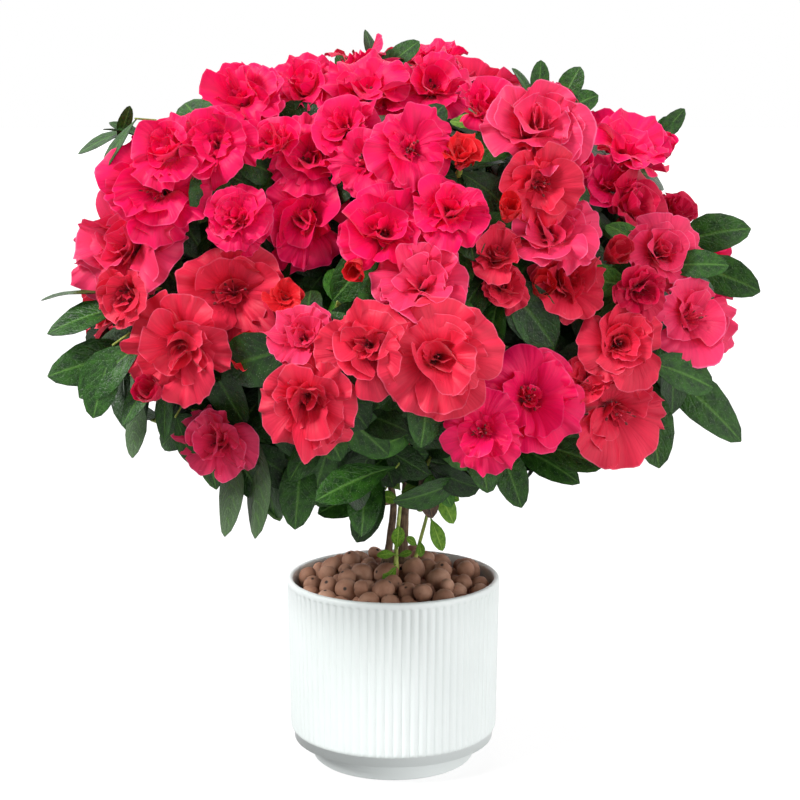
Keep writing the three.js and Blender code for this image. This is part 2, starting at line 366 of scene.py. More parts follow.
def pot_section():
    """The section as (radius, height, rib), from the underside's middle up and over to the inner floor."""
    band = POT_HEIGHT - LIP_BAND
    points = [
        (0, 0, 0),
        (FOOT_RADIUS - 1.2 * MM, 0, 0),
        (FOOT_RADIUS, 1.0 * MM, 0),
        (FOOT_RADIUS, FOOT_HEIGHT - 0.4 * MM, 0),
        (FOOT_RADIUS + 0.6 * MM, FOOT_HEIGHT, 0),
        (LOWER_RADIUS - LOWER_EDGE - 1.5 * MM, FOOT_HEIGHT, 0),
    ]
    for angle in np.radians([15, 35, 55, 75, 90]):
        across = LOWER_RADIUS - LOWER_EDGE + LOWER_EDGE * math.sin(angle)
        points.append((across, FOOT_HEIGHT + LOWER_EDGE * (1 - math.cos(angle)), math.sin(angle) ** 3))
    for share in (0.2, 0.4, 0.6, 0.8):
        height = FOOT_HEIGHT + LOWER_EDGE + (band - FOOT_HEIGHT - LOWER_EDGE) * share
        points.append((LOWER_RADIUS + (RIM_RADIUS - LOWER_RADIUS) * share, height, 1))
    points += [(RIM_RADIUS, band + past * MM, rib) for past, rib in ((-0.9, 1), (-0.2, 0.5), (0.2, 0))]
    for angle in np.radians([0, 30, 60, 90, 120, 150, 180]):
        points.append((RIM_RADIUS - LIP + LIP * math.cos(angle), POT_HEIGHT - LIP + LIP * math.sin(angle), 0))
    inside = RIM_RADIUS - WALL
    return np.array(points + [
        (inside, POT_HEIGHT - STRAIGHT_INSIDE, 0),
        (inside, INSIDE_FLOOR, 0),
        (0, INSIDE_FLOOR, 0),
    ])


section = pot_section()
columns = RIBS * STEPS_TO_A_RIB
angles = np.linspace(0, FULL_TURN, columns, endpoint=False)
ring = np.stack([np.cos(angles), np.sin(angles)], -1)
wall_points = np.zeros((len(section), columns, 3))
wall_points[..., :2] = section[:, 0, None, None] * ring[None]
wall_points[..., 2] = section[:, 1, None]
# The last column of faces ends at the first column of points.
wall_faces = sheet_faces(1, len(section), columns + 1)
wall_faces = wall_faces // (columns + 1) * columns + wall_faces % (columns + 1) % columns
pot = mesh_piece("pot_ceramic", wall_points.reshape(-1, 3), wall_faces, [])
set_attribute(pot, "rib", "FLOAT", np.repeat(section[:, 2], columns))
print("section of", len(section), "points turned in", columns, "steps")

# %% The ribs
RIB_ROUNDNESS = 0.55
rib_tree, entry = geometry_tree("pot_ribs", {
    "Ribs": ("NodeSocketInt", RIBS),
    "Depth": ("NodeSocketFloat", RIB_DEPTH),
})
place = node(rib_tree, "GeometryNodeInputPosition").outputs[0]
parts = node(rib_tree, "ShaderNodeSeparateXYZ", {0: place}).outputs
around = calc(rib_tree, "ARCTAN2", parts[1], parts[0])
turns = calc(rib_tree, "MULTIPLY", around, calc(rib_tree, "DIVIDE", entry["Ribs"], FULL_TURN))
from_groove = calc(rib_tree, "PINGPONG", turns, 0.5)
bulge = calc(rib_tree, "POWER", calc(rib_tree, "MULTIPLY", from_groove, 2), RIB_ROUNDNESS)
sunk = calc(rib_tree, "MULTIPLY", calc(rib_tree, "SUBTRACT", bulge, 1), entry["Depth"])
sunk = calc(rib_tree, "MULTIPLY", sunk, read(rib_tree, "rib"))
flat = node(rib_tree, "ShaderNodeCombineXYZ", {0: parts[0], 1: parts[1]}).outputs[0]
outward = node(rib_tree, "ShaderNodeVectorMath", {0: flat}, operation="NORMALIZE").outputs[0]
ribbed = moved(rib_tree, entry["Geometry"], outward, sunk)
merged = node(rib_tree, "GeometryNodeMergeByDistance", {"Geometry": ribbed, "Distance": 0.01 * MM}).outputs[0]
close_tree(rib_tree, merged)
print("ribs", RIB_DEPTH / MM, "mm deep")

# %% The glaze
# Matte white glaze is nearly even. A faint, broad change of tone and a fine grain keep it from looking
# like paper.
glaze, glaze_tree, glaze_shader = finish("white_glaze", 0.42, Coat_Weight=0.15, Coat_Roughness=0.35)
object_place = own_place(glaze_tree)
cloud = noise(glaze_tree, object_place, 14.0, 3.0)
tone = ramp(glaze_tree, cloud, [(0.3, colour(224, 231, 229)), (0.7, colour(233, 239, 238))])
cover(glaze_tree, glaze_shader, tone, noise(glaze_tree, object_place, 900.0, 2.0), 0.12, 0.1 * MM)
run_tree(pot, rib_tree, {"Material": glaze})
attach(pot, "root")
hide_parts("pot")

# %% [markdown]
# ## The clay pebbles
#
# The pot is topped with fired clay pebbles, 8 to 16 mm across, brown and smooth with small dark pores.
# Scattered spheres would sink into each other. So each pebble is let fall in turn: it tries a few places,
# and takes the one where it comes to lie lowest on the bed and on the pebbles already there. Geometry
# Nodes then put an uneven ball at each place.

# %% Let the pebbles fall
BED_RADIUS = RIM_RADIUS - WALL - 0.4 * MM
BED_EDGE = 88.0 * MM
BED_MIDDLE = 97.5 * MM
BED_BACK = 6 * MM
HEAP = 18.5 * MM
PEBBLE_RADII = (4.4, 7.0)
PEBBLES = 330
TRIES = 60
SNUG = 0.97


def bed_height(x, y):
    """The height of the heap's core under a point: level, and higher towards the middle and the back."""
    far = np.hypot(x, y - BED_BACK) / BED_RADIUS
    return BED_MIDDLE - (BED_MIDDLE - BED_EDGE) * np.clip(far, 0, 1) ** 2


def settle(count, tries, rng):
    """Drops pebbles one by one, but leaves out what would lie above the heap. Returns middles and radii."""
    middles, radii = np.zeros((0, 3)), np.zeros(0)
    for _ in range(count):
        radius = rng.uniform(*PEBBLE_RADII) * MM
        angle = rng.uniform(0, FULL_TURN, tries)
        reach = (BED_RADIUS - radius) * np.sqrt(rng.uniform(0, 1, tries))
        x, y = reach * np.cos(angle), reach * np.sin(angle)
        height = bed_height(x, y)
        if len(radii):
            apart = np.hypot(x[:, None] - middles[None, :, 0], y[:, None] - middles[None, :, 1])
            touch = (radii + radius) * SNUG
            lift = np.sqrt(np.maximum(touch**2 - apart**2, 0)) + middles[None, :, 2]
            height = np.maximum(height, np.where(apart < touch, lift, 0).max(1))
        best = int(np.argmin(height))
        if height[best] + radius <= bed_height(x[best], y[best]) + HEAP:
            middles = np.vstack([middles, (x[best], y[best], height[best])])
            radii = np.append(radii, radius)
    return middles, radii


pebble_draw = np.random.default_rng(SEED)
pebble_places, pebble_radii = settle(PEBBLES, TRIES, pebble_draw)
pebble_tops = pebble_places[:, 2] + pebble_radii
print(len(pebble_radii), "pebbles, the highest at", round(pebble_tops.max() / MM), "mm")

# %% Shape the pebbles
pebble_tree, entry = geometry_tree("clay_pebbles", {
    "Roundness": ("NodeSocketInt", 3),
    "Unevenness": ("NodeSocketFloat", 3.1 * MM),
    "Lump size": ("NodeSocketFloat", 9 * MM),
})
ball = node(pebble_tree, "GeometryNodeMeshIcoSphere", {"Radius": 1.0, "Subdivisions": entry["Roundness"]})
laid = node(pebble_tree, "GeometryNodeInstanceOnPoints", {
    "Points": entry["Geometry"],
    "Instance": ball.outputs[0],
    "Rotation": read(pebble_tree, "turn", "FLOAT_VECTOR"),
    "Scale": read(pebble_tree, "size", "FLOAT_VECTOR"),
}).outputs[0]
laid = node(pebble_tree, "GeometryNodeRealizeInstances", {0: laid}).outputs[0]
lump_scale = calc(pebble_tree, "DIVIDE", 1, entry["Lump size"])
lumps = node(pebble_tree, "ShaderNodeTexNoise", {"Scale": lump_scale, "Detail": 1.5}).outputs[0]
close_tree(pebble_tree, roughened(pebble_tree, laid, lumps, entry["Unevenness"]))
pebbles = mesh_piece("clay_pebbles", pebble_places, np.zeros((0, 3), int), [])
stretch = pebble_draw.uniform((0.92, 0.9, 0.86), (1.16, 1.04, 1.0), (len(pebble_radii), 3))
set_attribute(pebbles, "size", "FLOAT_VECTOR", pebble_radii[:, None] * stretch)
set_attribute(pebbles, "turn", "FLOAT_VECTOR", pebble_draw.uniform(0, FULL_TURN, (len(pebble_radii), 3)))
print("pebbles up to", round(2 * pebble_radii.max() / MM), "mm thick")

# %% Fired clay
CLAY_TONES = [(0.3, colour(124, 84, 64)), (0.5, colour(160, 116, 92)), (0.72, colour(196, 154, 130))]
PORE = colour(34, 20, 14)
clay, clay_tree, clay_shader = finish("fired_clay", 0.72)
object_place = own_place(clay_tree)
tone = ramp(clay_tree, noise(clay_tree, object_place, 75.0, 4.0), CLAY_TONES)
pits = node(clay_tree, "ShaderNodeTexVoronoi", {"Vector": object_place, "Scale": 150.0}).outputs["Distance"]
smooth = ramp(clay_tree, pits, [(0.1, BLACK), (0.19, WHITE)])
grit = noise(clay_tree, object_place, 700.0, 3.0)
relief = calc(clay_tree, "ADD", calc(clay_tree, "MULTIPLY", grit, 0.35), smooth)
cover(clay_tree, clay_shader, blend(clay_tree, smooth, PORE, tone), relief, 0.55, 0.35 * MM)
run_tree(pebbles, pebble_tree, {"Material": clay})
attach(pebbles, "root")
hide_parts("pebble_fill")

# %% [markdown]
# ## The crown's outside
#
# The frame's masses say where the crown ends. Everything on the crown is placed against them: a ray from
# outside finds the first mass it meets, and with it the place and the way out. Joined into one search
# tree, the masses answer thousands of such questions in a moment.

# %% Gather the masses
mass_names = sorted(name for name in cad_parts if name.startswith("mass_"))
crown_points, crown_faces, face_mass = [], [], []
for number, name in enumerate(mass_names):
    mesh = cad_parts[name].data
    first = len(crown_points)
    crown_points += [v.co.copy() for v in mesh.vertices]
    crown_faces += [[first + v for v in p.vertices] for p in mesh.polygons]
    face_mass += [number] * len(mesh.polygons)
crown_tree = BVHTree.FromPolygons(crown_points, crown_faces)
crown_array = np.array(crown_points)
crown_low, crown_high = crown_array.min(0), crown_array.max(0)
LEAF_HANG = 28 * MM
crown_foot = crown_low[2] - LEAF_HANG
crown_rise = crown_high[2] - crown_foot
crown_middle = (crown_low + crown_high) / 2
half_width = (crown_high[0] - crown_low[0]) / 2
eye = np.array(camera.location)
CROWN_HEART = np.array([0, 0, crown_foot + 0.46 * crown_rise])
OUTSIDE = 0.6
print(len(mass_names), "masses; crown", np.round((crown_high - crown_low) / MM), "mm")


def meet(origin, direction):
    """Where a ray first meets the crown, and the number of the mass there, or None."""
    spot, _, face, _ = crown_tree.ray_cast(Vector(origin), Vector(direction).normalized())
    return None if spot is None else (np.array(spot), face_mass[face])


def from_heart(direction):
    """The crown's outermost point in a direction from its heart, and the mass there, or None."""
    way = unit(np.asarray(direction, float))
    found = meet(CROWN_HEART + way * OUTSIDE, -way)
    # A ray through a gap can reach the far side; that isn't a point in this direction.
    return found if found and (found[0] - CROWN_HEART) @ way > 0 else None


# %% [markdown]
# ## Where the flowers are
#
# The double flowers are 40 to 75 mm across and nearly hide the leaves. On the side that is seen most,
# each large flower has its own place, size, colour, form and way of facing, given one by one. Places are
# shares of the crown's half width and of its height down to the hanging leaves, so they follow the frame.
# All round the rest, a seeded rule fills in: it draws a direction from the heart of the crown, and keeps
# it if no other flower is too near. Where the flanks would stand out of the plant's outline, its flowers
# sink in step by step. On the side seen most the rule only fills what the listed flowers would hide, so no
# gap opens behind them.

# %% The flowers of the front
# across, up, width in mm, colour, form, and how far each faces aside and upwards
FRONT_FLOWERS = [
    (-0.65, 0.79, 48, "cerise", "double", -0.3, 0.6),
    (-0.52, 0.80, 46, "cerise", "double", 0.0, 0.2),
    (-0.44, 0.885, 56, "cerise", "double", -0.2, 0.5),
    (-0.68, 0.71, 66, "cerise", "open", 0.1, 0.1),
    (-0.78, 0.61, 74, "rose", "double", -0.3, 0.3),
    (-0.79, 0.50, 40, "coral", "half", -0.5, -0.1),
    (-0.46, 0.66, 42, "cerise", "double", -0.1, 0.4),
    (-0.48, 0.51, 68, "coral", "open", 0.1, 0.2),
    (-0.63, 0.40, 62, "coral", "double", -0.2, -0.1),
    (-0.70, 0.31, 20, "crimson", "bud", -0.1, 0.5),
    (-0.27, 0.91, 48, "cerise", "double", 0.0, 0.8),
    (-0.36, 0.81, 38, "cerise", "half", -0.1, 0.9),
    (-0.26, 0.78, 52, "cerise", "double", 0.0, 0.5),
    (-0.10, 0.91, 54, "cerise", "double", 0.0, 0.5),
    (-0.16, 0.83, 44, "cerise", "double", -0.1, 0.3),
    (0.02, 0.79, 52, "cerise", "open", 0.1, 0.1),
    (-0.11, 0.76, 40, "cerise", "open", -0.4, 0.1),
    (0.08, 0.91, 46, "cerise", "double", 0.2, 0.5),
    (0.23, 0.88, 38, "cerise", "half", 0.1, 0.9),
    (0.16, 0.78, 28, "scarlet", "half", 0.0, 0.8),
    (0.37, 0.83, 66, "rose", "double", 0.1, 0.6),
    (0.38, 0.715, 50, "coral", "open", 0.1, -0.2),
    (0.63, 0.80, 46, "cerise", "half", 0.2, 0.9),
    (0.48, 0.74, 20, "cerise", "bud", 0.0, 0.9),
    (0.57, 0.72, 40, "cerise", "double", -0.2, 0.4),
    (0.65, 0.68, 44, "crimson", "half", 0.3, 0.6),
    (0.76, 0.67, 28, "crimson", "half", 0.3, 0.8),
    (0.72, 0.59, 47, "rose", "rosette", 0.1, 0.3),
    (0.58, 0.58, 18, "coral", "bud", 0.3, 0.6),
    (0.66, 0.51, 34, "crimson", "double", 0.0, -0.1),
    (0.81, 0.46, 54, "rose", "open", 0.4, 0.4),
    (0.61, 0.41, 48, "coral", "rosette", 0.0, 0.3),
    (0.60, 0.27, 58, "coral", "open", 0.1, -0.1),
    (0.36, 0.30, 66, "cerise", "open", 0.05, 0.35),
    (0.22, 0.23, 46, "cerise", "open", -0.3, 0.2),
    (0.10, 0.38, 72, "coral", "rosette", 0.1, 0.2),
    (-0.10, 0.40, 54, "coral", "double", -0.1, 0.2),
    (-0.28, 0.42, 40, "rose", "double", 0.0, 0.5),
    (-0.27, 0.29, 60, "coral", "double", 0.0, -0.1),
    (-0.43, 0.39, 26, "scarlet", "half", -0.1, 0.4),
    (-0.33, 0.50, 22, "scarlet", "half", 0.2, 0.4),
    (-0.53, 0.21, 48, "rose", "double", -0.25, 0.25),
    (-0.28, 0.65, 54, "cerise", "double", 0.0, 0.0),
    (-0.46, 0.65, 36, "cerise", "double", -0.1, 0.1),
    (-0.05, 0.63, 58, "cerise", "double", 0.0, 0.3),
    (0.13, 0.67, 46, "cerise", "double", -0.1, 0.6),
    (0.06, 0.53, 58, "rose", "double", 0.0, 0.6),
    (0.26, 0.59, 34, "coral", "half", 0.0, 0.6),
    (0.28, 0.52, 28, "coral", "rosette", 0.0, 0.5),
    (0.42, 0.63, 52, "rose", "double", 0.0, 0.9),
    (0.46, 0.53, 49, "coral", "double", 0.1, 0.4),
    (0.38, 0.51, 17, "scarlet", "bud", 0.1, 0.6),
    (0.29, 0.66, 18, "scarlet", "bud", 0.1, 0.6),
    (-0.13, 0.56, 16, "scarlet", "bud", -0.2, -0.5),
    (0.52, 0.34, 32, "coral", "half", -0.2, 0.5),
]
# How deep a form sits on its shoot, as a share of its width, and which forms' petals hang at their ends.
SINK_OF_FORM = {"double": 0.24, "open": 0.22, "rosette": 0.24, "half": 0.42, "bud": 0.5}
DROOP_OF_FORM = {"half": 0.8, "bud": 0.8}
WIDE_DROOP = 2.5
RAY_SPREAD = 15 * MM
flowers = []


def add_flower(spot, facing, width, shade, form, mass):
    """Keeps one flower: its middle, the way it faces, its width, colour, form and mass."""
    flowers.append({
        "spot": spot, "facing": facing, "width": width, "shade": shade, "form": form, "mass": mass,
        "root": spot - facing * width * SINK_OF_FORM[form],
        "droop": DROOP_OF_FORM.get(form, WIDE_DROOP),
    })


def seen_at(across, up):
    """The point of the crown that shows at this share of its half width and height, and its mass.

    Rays a little to all sides are tried as well, and the second nearest counts, so a gap between two masses
    doesn't swallow what is put there. Where nothing is met, the aim moves inwards bit by bit.
    """
    aim = np.array([crown_middle[0] + across * half_width, 0, crown_foot + up * crown_rise])
    inwards = crown_middle - aim
    for share in np.linspace(0, 0.3, 16):
        tries = [(0, 0), (1, 0), (-1, 0), (0, 1), (0, -1)]
        ends = [aim + inwards * share + np.array([x, 0, z]) * RAY_SPREAD for x, z in tries]
        found = [meet(eye, end - eye) for end in ends]
        if found[0] is not None:
            distances = sorted(np.linalg.norm(f[0] - eye) for f in found if f is not None)
            place = eye + unit(ends[0] - eye) * distances[min(1, len(distances) - 1)]
            return place - inwards * share * 0.8, found[0][1]
    return None


for across, up, width, shade, form, aside, upwards in FRONT_FLOWERS:
    spot, mass = seen_at(across, up)
    nearness = np.linalg.norm(spot - eye) / np.linalg.norm(crown_middle - eye)
    facing = unit(np.array([aside, -0.85, upwards]) + unit(spot - CROWN_HEART) * 0.35)
    add_flower(spot, facing, width * nearness * MM, shade, form, mass)
front_count = len(flowers)
print(front_count, "flowers placed by hand")

# %% The flowers all round
# How far the plant reaches to each side at each height, as shares of the half width and of the height.
OUTLINE_HEIGHTS = [0.0, 0.24, 0.36, 0.42, 0.52, 0.60, 0.72, 0.80, 0.87, 0.97]
OUTLINE_REACHES = [0.56, 0.60, 0.70, 0.79, 0.93, 0.91, 0.80, 0.70, 0.56, 0.28]
OUTLINE_STEPS = 12
OUTLINE_SINK = 3 * MM
AROUND_DRAWS = 3500
AROUND_SINK = 0.16
AROUND_WIDTHS = (52, 70)
AROUND_HALF = 0.40
AROUND_APART = 14.6 * MM
LOWEST_FLOWER = crown_foot + 0.24 * crown_rise
HIGH_SIDE = crown_foot + 0.60 * crown_rise
AROUND_SHADES = {"cerise": 0.40, "coral": 0.24, "rose": 0.19, "crimson": 0.11, "scarlet": 0.06}
AROUND_FORMS = {"double": 0.50, "open": 0.17, "rosette": 0.13, "half": 0.17, "bud": 0.03}
# A flower counts as hidden by one this far before it, when so much of both widths lies behind it.
HIDDEN_BEHIND = 12 * MM
HIDDEN_HALF = 0.42
HIDING_HALF = 0.50
# How far a flower of the rule may face the eye, low and high on the crown.
LOW_FACING = 0.06
HIGH_FACING = 0.12
SHARE_OF_FORM = {"double": 1.0, "open": 1.0, "rosette": 0.9, "half": 0.62, "bud": 0.32}


def as_seen(spot):
    """Shares of the half width and of the height at which the eye sees a point."""
    seen = eye + (spot - eye) * (eye[1] / (eye[1] - spot[1]))
    return (seen[0] - crown_middle[0]) / half_width, (seen[2] - crown_foot) / crown_rise


def inside_outline(spot, radius):
    """True where a round thing of this radius stays within the outline that the eye sees."""
    across, up = as_seen(spot)
    return abs(across) + radius / half_width < np.interp(up, OUTLINE_HEIGHTS, OUTLINE_REACHES)


def covered(spot, width):
    """True where a flower of the front, nearer to the eye, hides a smaller one at this point."""
    for flower in flowers[:front_count]:
        line = unit(flower["spot"] - eye)
        behind = (spot - flower["spot"]) @ line
        aside = np.linalg.norm(spot - flower["spot"] - line * behind)
        if behind > HIDDEN_BEHIND and aside + HIDDEN_HALF * width < HIDING_HALF * flower["width"]:
            return True
    return False


def pick(draw, odds):
    """One of the names, drawn by their odds."""
    return str(draw.choice(list(odds), p=list(odds.values())))


def sunk_in(spot, way, width):
    """The point, moved in until a flower there stays within the outline, or None if it never does."""
    for _ in range(OUTLINE_STEPS):
        if inside_outline(spot - way * AROUND_SINK * width, AROUND_HALF * width):
            return spot
        spot = spot - unit(way * np.array([1, 0.5, 0.5])) * OUTLINE_SINK
    return None


flower_draw = np.random.default_rng(SEED + 1)
for _ in range(AROUND_DRAWS):
    way = unit(flower_draw.normal(0, 1, 3))
    jitter = flower_draw.normal(0, 0.22, 3)
    form = pick(flower_draw, AROUND_FORMS)
    shade = pick(flower_draw, AROUND_SHADES)
    width = flower_draw.uniform(*AROUND_WIDTHS) * SHARE_OF_FORM[form] * MM
    found = from_heart(way)
    if found is None or found[0][2] < LOWEST_FLOWER:
        continue
    spot = sunk_in(found[0], way, width)
    if spot is None:
        continue
    # The front has its flowers already, so only what is hidden or hardly faces the eye is filled.
    faces_eye = unit(eye - spot) @ unit(way + jitter * 0.3)
    hidden = faces_eye > 0.0 and covered(spot, width)
    if not hidden and faces_eye > (LOW_FACING if spot[2] < HIGH_SIDE else HIGH_FACING):
        continue
    if min(np.linalg.norm(spot - f["spot"]) - 0.22 * (f["width"] + width) for f in flowers) < AROUND_APART:
        continue
    facing = unit(way + jitter + np.array([0, 0, 0.35]))
    add_flower(spot - way * AROUND_SINK * width, facing, width, shade, form, found[1])
print(len(flowers), "flowers in all")

# %% [markdown]
# ## Petals
#
# A petal is one thin sheet, 6 by 24 faces. Flat, it is a fan with a narrow claw, a round end and a few
# shallow notches. Then it bends: the claw runs up the flower's funnel, and the end turns outwards or
# back. Its width curls about its middle line, its sides tilt over the neighbour's, and its margin is
# longer than its bed, so it throws ruffles. All of that is a few lines of array arithmetic over every
# petal of the plant at once, with each petal's own numbers, which is what makes no two of them alike. A
# cloth simulation for each would give the same look for far more time.

# %% Bend every petal at once
# Rows lie closer towards the margin, and columns towards the sides, where a petal bends most.
PETAL_ROWS = 7
PETAL_COLUMNS = 25
row = np.array([0.05, 0.27, 0.49, 0.68, 0.83, 0.935, 1.0])[None, :, None]
even = np.linspace(-1, 1, PETAL_COLUMNS)
column = (0.6 * even + 0.4 * np.sin(even * math.pi / 2))[None, None, :]


def by_name(rows):
    """One array for each name, ready to meet rows and columns, from one dictionary for each petal or leaf."""
    return {name: np.array([r[name] for r in rows], float)[:, None, None] for name in rows[0]}


def bend_petals(rows):
    """Points [petal, row, column, 3] in the flower's axes, from a dictionary of numbers for each petal."""
    k = by_name(rows)
    # The flat fan, with its round end and its notches.
    wave = k["waves"] * math.pi * column + k["phase"]
    ripple = k["ripples"] * math.pi * column + 1.7 * k["phase"]
    shoulder = np.sqrt(np.maximum(1 - np.abs(column) ** 2.4, 0))
    rim = 1 - k["round"] * (1 - shoulder) + k["skew"] * column
    scallop = np.cos(k["teeth"] * column + k["phase"])
    rim = rim + (k["notch"] * scallop + 0.25 * k["frill"] * np.cos(ripple)) * (0.3 + 0.7 * shoulder)
    reach = k["length"] * row * (1 + (rim - 1) * row**2)
    fan = k["fan"] * column * (0.60 + 0.40 * row)
    side = reach * np.sin(fan)
    ahead = reach * np.cos(fan)
    # The bend along the petal: from the claw's angle to the open one, with a flare at the end.
    step = np.diff(ahead, axis=1, prepend=0)
    share = np.clip((ahead - step / 2) / k["length"], 0, 1.2)
    flare = k["flare"] * np.clip(share - 0.6, 0, 1) / 0.4
    angle = k["lean"] + (k["open"] - k["lean"]) * share ** k["late"] + flare
    out = np.cumsum(step * np.sin(angle), axis=1)
    up = np.cumsum(step * np.cos(angle), axis=1)
    # The curl across it, its keel, its ruffles, the frill of its margin and a broad swell.
    bend = (k["cup"] * (1 - row) + k["curl"] * row) * side / k["length"]
    lift = side * np.sin(np.clip(bend, -1.1, 1.1)) + k["roll"] * side * row
    side = side * np.cos(np.clip(0.8 * bend, -1.1, 1.1))
    lift = lift - k["keel"] * k["length"] * np.exp(-((column / 0.22) ** 2)) * row * (1 - 0.4 * row)
    margin = row**2.6 * (0.45 + 0.55 * np.abs(column)) * (0.3 + 0.7 * shoulder)
    lift = lift + k["length"] * k["ruffle"] * margin * np.sin(wave)
    uneven = 1 + 0.8 * np.sin(2.6 * column + 2 * k["phase"])
    lift = lift + k["length"] * k["frill"] * row**4.5 * uneven * np.sin(ripple)
    swell = k["length"] * k["swell"] * row * np.sin(4.2 * row + k["phase"])
    lift = lift + swell * np.cos(1.9 * column + k["phase"])
    side = side + k["length"] * k["ruffle"] * 0.5 * row**3 * np.cos(wave)
    out = out - np.cos(angle) * lift + k["start"]
    up = up + np.sin(angle) * lift
    # Its place round the flower.
    turn = k["around"] + k["twist"] * row
    cos, sin = np.cos(turn), np.sin(turn)
    return np.stack([out * cos - side * sin, out * sin + side * cos, up], -1)


# %% The forms of flower
# Each form is a list of whorls, from the outside in. A whorl is: how many petals, their length as a
# share, the angle from the flower's axis at the claw and at the end, the half angle of the fan, the curl
# at the claw and at the end, how strong the ruffles are, and how unlike each other the petals are.
FORMS = {
    "double": [
        (5, 1.00, 34, 97, 43, 0.6, -0.20, 0.095, 1.3),
        (5, 0.92, 26, 72, 42, 0.8, 0.20, 0.125, 1.7),
        (4, 0.80, 16, 48, 44, 1.1, 0.80, 0.185, 2.2),
        (4, 0.60, 5, 26, 44, 1.5, 1.30, 0.240, 2.6),
    ],
    "open": [
        (5, 1.00, 34, 92, 43, 0.5, -0.10, 0.085, 1.1),
        (5, 0.80, 24, 62, 43, 0.8, 0.40, 0.130, 1.7),
        (5, 0.40, 10, 40, 36, 1.4, 1.50, 0.260, 2.8),
    ],
    "rosette": [
        (5, 1.00, 34, 96, 47, 0.6, -0.20, 0.080, 1.3),
        (5, 0.90, 26, 72, 48, 0.8, 0.20, 0.085, 1.5),
        (4, 0.78, 14, 46, 50, 1.2, 0.90, 0.090, 1.8),
        (3, 0.58, 2, 20, 54, 2.0, 2.00, 0.090, 1.4),
    ],
    "half": [
        (5, 1.00, 24, 52, 43, 1.0, 0.50, 0.115, 1.3),
        (5, 0.86, 16, 34, 43, 1.2, 0.90, 0.140, 1.6),
        (4, 0.68, 8, 16, 44, 1.5, 1.30, 0.180, 2.0),
    ],
    "bud": [
        (4, 1.00, 27, -7, 27, 2.1, 1.9, 0.030, 0.4),
        (3, 0.92, 15, -3, 25, 2.4, 2.2, 0.030, 0.4),
    ],
}
# A petal's length as a share of the flower's width, how far its end turns back in degrees, and, where a
# form's margins are calmer than the rest, the share of frill and notches that it keeps.
LENGTH_FOR_WIDTH = {"double": 0.565, "open": 0.56, "rosette": 0.565, "half": 0.66, "bud": 1.25}
FLARE_OF_FORM = {"double": 16, "open": 16, "rosette": 8, "half": 38, "bud": 0}
FRILL_OF_FORM = {"bud": 0.3, "half": 0.8}
petal_draw = np.random.default_rng(SEED + 2)


def petals_of(flower, draw):
    """The petals' numbers for one flower, as a list of dictionaries."""
    made = []
    form = flower["form"]
    length = flower["width"] * LENGTH_FOR_WIDTH[form]
    frill = FRILL_OF_FORM.get(form, 1)
    first_turn = draw.uniform(0, FULL_TURN)
    eager = draw.normal(0, 6)
    spiral = draw.choice([-1, 1])
    for ring_number, (count, share, lean, opening, fan, cup, curl, ruffle, unlike) in enumerate(FORMS[form]):
        for number in range(count):
            around = first_turn + ring_number * math.pi / count * 1.1 + number * 2 * math.pi / count
            made.append({
                "length": length * share * draw.uniform(1 - 0.10 * unlike, 1 + 0.07 * unlike),
                "lean": math.radians(lean + draw.normal(0, 3) * unlike),
                "open": math.radians(opening + eager + draw.normal(0, 12) * unlike),
                "late": draw.uniform(0.9, 1.7),
                "flare": math.radians(FLARE_OF_FORM[form] * draw.uniform(-0.8, 2.0)),
                "fan": math.radians(fan * draw.uniform(0.88, 1.1)),
                "round": draw.uniform(0.30, 0.48),
                "skew": draw.normal(0, 0.07),
                "cup": cup,
                "curl": curl + draw.normal(0, 0.32) * unlike,
                "roll": 0.14 * spiral + draw.normal(0, 0.15) * unlike,
                "keel": draw.uniform(-0.01, 0.03),
                "ruffle": ruffle * draw.uniform(0.4, 1.35),
                "waves": draw.uniform(1.2, 3.0),
                "frill": draw.uniform(0.025, 0.075) * frill,
                "ripples": draw.uniform(3.4, 6.0),
                "teeth": draw.uniform(6, 13),
                "notch": draw.uniform(0.004, 0.018) * frill,
                "swell": draw.uniform(0.02, 0.09),
                "phase": draw.uniform(0, FULL_TURN),
                "around": around + draw.normal(0, 0.13) * unlike,
                "twist": draw.normal(0, 0.14) * unlike,
                "start": 0.04 * length,
            })
    return made


def put_in_place(bent, axes, droop, feet):
    """Turns each sheet into its own axes, lets its far end hang a little, and moves it to its foot."""
    placed_points = np.einsum("nrcj,njk->nrck", bent, axes)
    far = (placed_points**2).sum(-1)
    placed_points[..., 2] -= droop * far
    return placed_points + feet[:, None, None, :]


def petal_points(flower_list, draw):
    """All petals of these flowers, placed on the plant."""
    rows, owner = [], []
    for number, flower in enumerate(flower_list):
        made = petals_of(flower, draw)
        rows += made
        owner += [number] * len(made)
    facing, roots, droops = (np.array([f[name] for f in flower_list]) for name in ("facing", "root", "droop"))
    axes = turned_axes(facing, draw.normal(0, 1, facing.shape))
    return put_in_place(bend_petals(rows), axes[owner], droops[owner][:, None, None], roots[owner])


print(sum(sum(whorl[0] for whorl in FORMS[f["form"]]) for f in flowers), "petals to bend")
